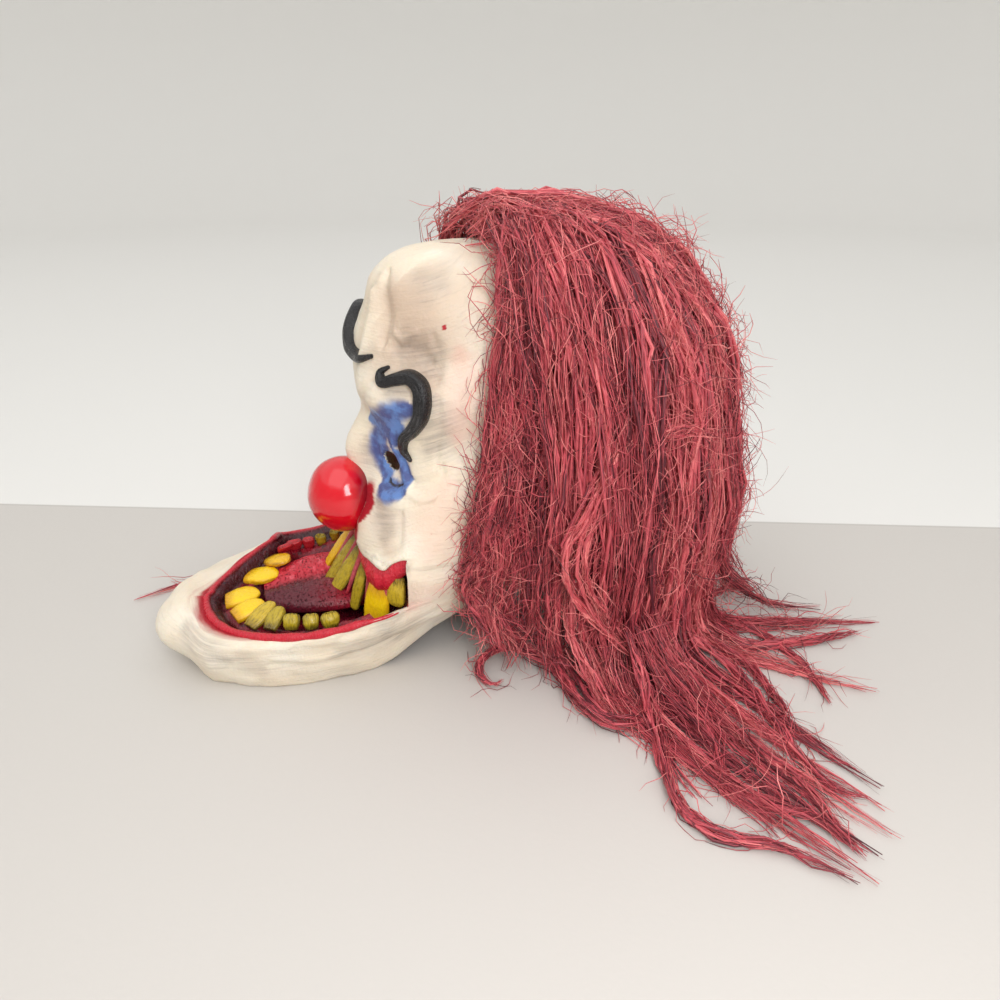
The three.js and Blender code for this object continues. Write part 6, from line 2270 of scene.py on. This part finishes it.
        # The low tint is painted shade: the hair's depth drawn near black
        paint = {"tint": np.clip(0.10 + 0.10 * Ripple(72, 30, 2)(points), 0, 1), "grain": points.copy()}
        flat = Surface(points, grid_quads(sheet.shape[0], rows, False), paint=paint)
        return flat.thickened(-3.0)

    def cap(self) -> Surface:
        """The cap over the skull behind the hairline, dark as painted shade under the hair."""
        height, depth = self.hairline.column("height"), self.hairline.column("y")
        around, rings = 90, 60
        levels = np.linspace(0.24, 0.985, rings)
        z = levels * self.head.height
        section = self.head.section(z)
        line = (np.interp(levels, height, depth) + 0.07) * self.head.face_reach
        edge = self.head.turn_at_depth(section, line)
        share = np.linspace(0, 1, around)[:, None]
        turn = mix(edge[None], TURN - edge[None], share)
        z = np.broadcast_to(z, turn.shape)
        section = {key: np.broadcast_to(value, turn.shape) for key, value in section.items()}
        sheet = self.head.outline(section, turn, z)
        centre = np.array([0, -40, 160])
        way = unit((sheet - centre) * np.array([1, 1, 0.35]))
        rim = np.minimum(np.minimum(share, 1 - share) * 12, 1)
        sheet = sheet + way * (3 + 5 * rim[..., None] + 1.2 * Ripple(73, 15, 2)(sheet)[..., None])
        points = sheet.reshape(-1, 3)
        crown = np.array([[0, -34, self.head.height + 9]])
        last = (np.arange(around) + 1) * rings - 1
        tris = np.stack([last[:-1], last[1:], np.full(around - 1, len(points))], 1)
        points = np.concatenate([points, crown])
        # The low tint is painted shade under the hair
        paint = {"tint": np.full(len(points), 0.12), "grain": points.copy()}
        quads = grid_quads(around, rings, False)
        return Surface(points, quads, tris, paint).thickened(2.5)

    def curls(self, random: np.random.Generator, middles: Array, ways: Array, size: Array) -> Array:
        """Short stray curls: arcs of a helix that drifts along its own way."""
        count = len(middles)
        t = np.linspace(-0.5, 0.5, self.stray_stops)[None]
        a = unit(np.cross(ways, random.normal(size=(count, 3))))
        b = np.cross(unit(ways), a)
        turns = random.uniform(0.3, 1.1, (count, 1))
        angle = TURN * turns * t + random.uniform(0, TURN, (count, 1))
        radius = size[:, None] * random.uniform(0.12, 0.4, (count, 1))
        drift = size[:, None] * random.uniform(0.8, 2.0, (count, 1)) * t
        return (
            middles[:, None]
            + unit(ways)[:, None] * drift[..., None]
            + a[:, None] * (radius * np.cos(angle))[..., None]
            + b[:, None] * (radius * np.sin(angle))[..., None]
        )

    def build(self, shop: Workshop) -> None:
        """Makes the mass, the strands, the fibres and the strays."""
        random = np.random.default_rng(7)
        rows = self.locks.records()
        guides = [self.lock_line(row) for row in rows]
        shop.piece("hair_mass", Surface.joined([self.mass(guides[:-1]), self.cap()]), DyedHair(), ["wig"])

        strands, fine, kinked, stray = [], [], [], []

        def dress(line: Guide, tone: float, load: tuple, share: float = 1.0) -> None:
            """Strands, fine fibres and crimped fibres round one line, near one tone."""
            thick, thin, crimped = (int(number * share) for number in load[:3])
            clumps = load[3]
            paths = self.strand_paths(random, line, thick, self.strand_stops, clumps, 0.14)
            tint = np.clip(random.normal(tone, 0.12, thick), 0.05, 0.9)
            strands.append(self.fibres(random, paths, self.strand_half, 5, tint))
            paths = self.strand_paths(random, line, thin, self.fibre_stops, clumps, 0.34)
            tint = np.clip(random.normal(tone + 0.06, 0.2, thin), 0.05, 1.0)
            fine.append(self.fibres(random, paths, self.fibre_half, 3, tint))
            paths = self.kinks(random, line, crimped)
            tint = np.clip(random.normal(tone + 0.12, 0.24, crimped), 0.05, 1.0)
            kinked.append(self.fibres(random, paths, self.kink_half, 3, tint))

        for i, guide in enumerate(guides):
            seen = 1.0 if i <= 8 else 0.5
            partner = guides[i + 1] if i < len(guides) - 2 else guide
            for share in (0.0, 0.5):
                tone = float(np.clip(random.normal(0.42, 0.13), 0.15, 0.75))
                line = self.between(guide, partner, share)
                dress(line, tone, self.lock_load, seen)
        for start in np.linspace(0.42, 0.965, 15):
            out = float(random.uniform(6, 20))
            foot = (0.40 + random.uniform(-0.02, 0.05), -0.10 + random.uniform(-0.06, 0.06), 0.10)
            line = self.edge_line(float(start), out, foot)
            dress(line, float(random.uniform(0.25, 0.6)), self.edge_load)
        # The swirls over the crown are lighter: partly the hair's own streaks, partly painted highlight
        for row in self.swirls.records():
            dress(self.rope_line(row), 0.58, self.swirl_load)
        for row in self.ropes.records():
            dress(self.rope_line(row), 0.36, self.rope_load)
        for i, guide in enumerate(guides):
            count = 64 if i <= 9 else 30
            t = random.uniform(0.03, 0.9, count)
            place, side, up, half, deep = guide.at(t)
            angle = random.uniform(0, TURN, count)
            middles = place + side * (half * 1.3 * np.cos(angle))[:, None]
            middles = middles + up * (deep * 1.5 * np.sin(angle))[:, None]
            ways = unit(random.normal(0, 1, (count, 3)) + np.array([0, 0, -0.6]))
            paths = self.curls(random, middles, ways, random.uniform(16, 52, count))
            paths[..., 2] = np.maximum(paths[..., 2], 0.6)
            tint = np.clip(random.normal(0.6, 0.22, count), 0.1, 1)
            stray.append(self.fibres(random, paths, self.stray_half, 3, tint))
        shop.piece("hair_strands", Surface.joined(strands), DyedHair())
        for kind, parts in (("fibres", fine), ("crimp", kinked)):
            middle = len(parts) // 2
            shop.piece(f"hair_{kind}_back", Surface.joined(parts[:middle]), DyedHair())
            shop.piece(f"hair_{kind}_face", Surface.joined(parts[middle:]), DyedHair())
        shop.piece("hair_strays", Surface.joined(stray), DyedHair())


# Stage


@dataclass(frozen=True)
class Studio:
    """The pale ground, the soft light and the camera."""

    camera: tuple = (573, -192, 400)
    azimuth: float = 72
    pitch: float = 26
    focal: float = 722
    edge_from: tuple = (-331, -386)
    edge_to: tuple = (-6, 462)
    room: float = 5200
    bend: float = 1200
    wall_height: float = 3000

    def ground(self, shop: Workshop) -> None:
        """A wide round ground whose rim curves up into a low wall, open above.

        Rings of the radii and heights below are joined round the mask; the bend is a
        quarter circle.
        """
        bend = np.radians(np.linspace(0, 90, 13))
        flat = np.array([0.0, 400.0, 900.0, 1800.0, 3000.0])
        reach = np.r_[flat, self.room - self.bend * (1 - np.sin(bend)), self.room]
        rise = np.r_[np.zeros(len(flat)), self.bend * (1 - np.cos(bend)), self.wall_height]
        around = 96
        column = np.arange(around)
        turn = TURN * column / around
        x, y = reach[1:, None] * np.cos(turn), reach[1:, None] * np.sin(turn)
        rings = np.stack([x, y, np.broadcast_to(rise[1:, None], x.shape)], -1).reshape(-1, 3)
        middle = len(rings)
        disc = np.stack([column, np.roll(column, -1), np.full(around, middle)], 1)
        quads = grid_quads(len(reach) - 1, around, True)[:, ::-1]
        points = np.concatenate([rings, [[0.0, 0.0, 0.0]]])
        made = shop.mesh("pale_ground", Surface(points, quads, disc))
        start, end = (shop.place(np.array([*p, 0.0]))[:2] for p in (self.edge_from, self.edge_to))
        way = unit(end - start)
        across = np.array([-way[1], way[0]])
        made.data.materials.append(PaleGround(edge=(*across, float(across @ start))).material())

    def lamp(
        self, shop: Workshop, name: str, place: Sequence, aim: Sequence, size: Sequence, power: float
    ) -> None:
        """A soft rectangular lamp that points at a place.

        Args:
            shop: gives the row frame.
            name: the lamp's name.
            place, aim: where it stands and what it points at, in the mask's axes.
            size: its width and height, in metres.
            power: its power, in watts.
        """
        data = bpy.data.lights.new(name, "AREA")
        data.shape = "RECTANGLE"
        data.size, data.size_y = size
        data.energy = power
        lamp = bpy.data.objects.new(name, data)
        start, end = Vector(shop.place(np.array(place, float))), Vector(shop.place(np.array(aim, float)))
        lamp.location = start
        lamp.rotation_euler = (end - start).to_track_quat("-Z", "Y").to_euler()
        bpy.context.scene.collection.objects.link(lamp)

    def build(self, shop: Workshop) -> None:
        """Sets the ground, the lamps, the bright surroundings and the camera."""
        self.ground(shop)
        world = bpy.data.worlds.new("bright room")
        world.use_nodes = True
        back = world.node_tree.nodes["Background"]
        back.inputs["Color"].default_value = (*linear(238, 237, 235), 1)
        back.inputs["Strength"].default_value = 1.04
        scene = bpy.context.scene
        scene.world = world
        scene.view_settings.view_transform = "Standard"
        scene.view_settings.look = "None"
        scene.view_settings.exposure = 0.16
        self.lamp(shop, "overhead", (900, -900, 2400), (0, -100, 100), (2.4, 2.4), 14)
        self.lamp(shop, "window", (900, -60, 560), (0, -150, 134), (0.22, 0.6), 4)
        camera = bpy.data.cameras.new("view")
        camera.sensor_width = 36
        camera.lens = self.focal * 36 / 1000
        camera.clip_start, camera.clip_end = 0.01, 50
        made = bpy.data.objects.new("view", camera)
        made.location = Vector(shop.place(np.array(self.camera, float)))
        made.rotation_euler = (math.radians(90 - self.pitch), 0, math.radians(self.azimuth))
        bpy.context.scene.collection.objects.link(made)
        bpy.context.scene.camera = made


NEAR_BROW = Table(
    "turn height size",
    (
        (33, 0.757, 0.20),
        (29.5, 0.743, 0.42),
        (31.5, 0.724, 0.60),
        (37, 0.732, 0.75),
        (44, 0.739, 0.90),
        (49.5, 0.721, 1.00),
        (51, 0.688, 1.05),
        (49.5, 0.653, 0.95),
        (44, 0.617, 0.80),
        (39, 0.593, 0.65),
        (38.5, 0.564, 0.45),
        (43, 0.543, 0.20),
    ),
)
FAR_BROW = Table(
    "turn height size",
    (
        (-22, 0.772, 0.25),
        (-13, 0.758, 0.50),
        (-3, 0.752, 0.75),
        (5, 0.765, 0.90),
        (10, 0.790, 1.00),
        (14, 0.815, 1.00),
        (21, 0.832, 1.00),
        (30, 0.825, 1.00),
        (38, 0.780, 0.95),
        (40, 0.725, 0.80),
        (38, 0.680, 0.55),
        (38, 0.645, 0.20),
    ),
)


def main() -> None:
    """Builds the mask's pieces in order, then the stage."""
    logging.basicConfig(level=logging.INFO, format="%(name)s: %(message)s")
    head = HeadForm()
    mouth = MouthForm(head)
    nose = Nose()
    shop = Workshop.round_the_nose(nose)
    upper_teeth = UpperTeeth(mouth)
    Skin(head).build(shop)
    nose.build(shop)
    Brow("brow_near", "brow_left", 1, head, NEAR_BROW).build(shop)
    Brow("brow_far", "brow_right", -1, head, FAR_BROW).build(shop)
    MouthLining(mouth).build(shop)
    UpperGum(mouth).build(shop, upper_teeth)
    Tongue(mouth).build(shop)
    LowerTeeth(mouth).build(shop)
    upper_teeth.build(shop)
    Hair(head).build(shop)
    Studio().build(shop)


if __name__ == "__main__":
    main()
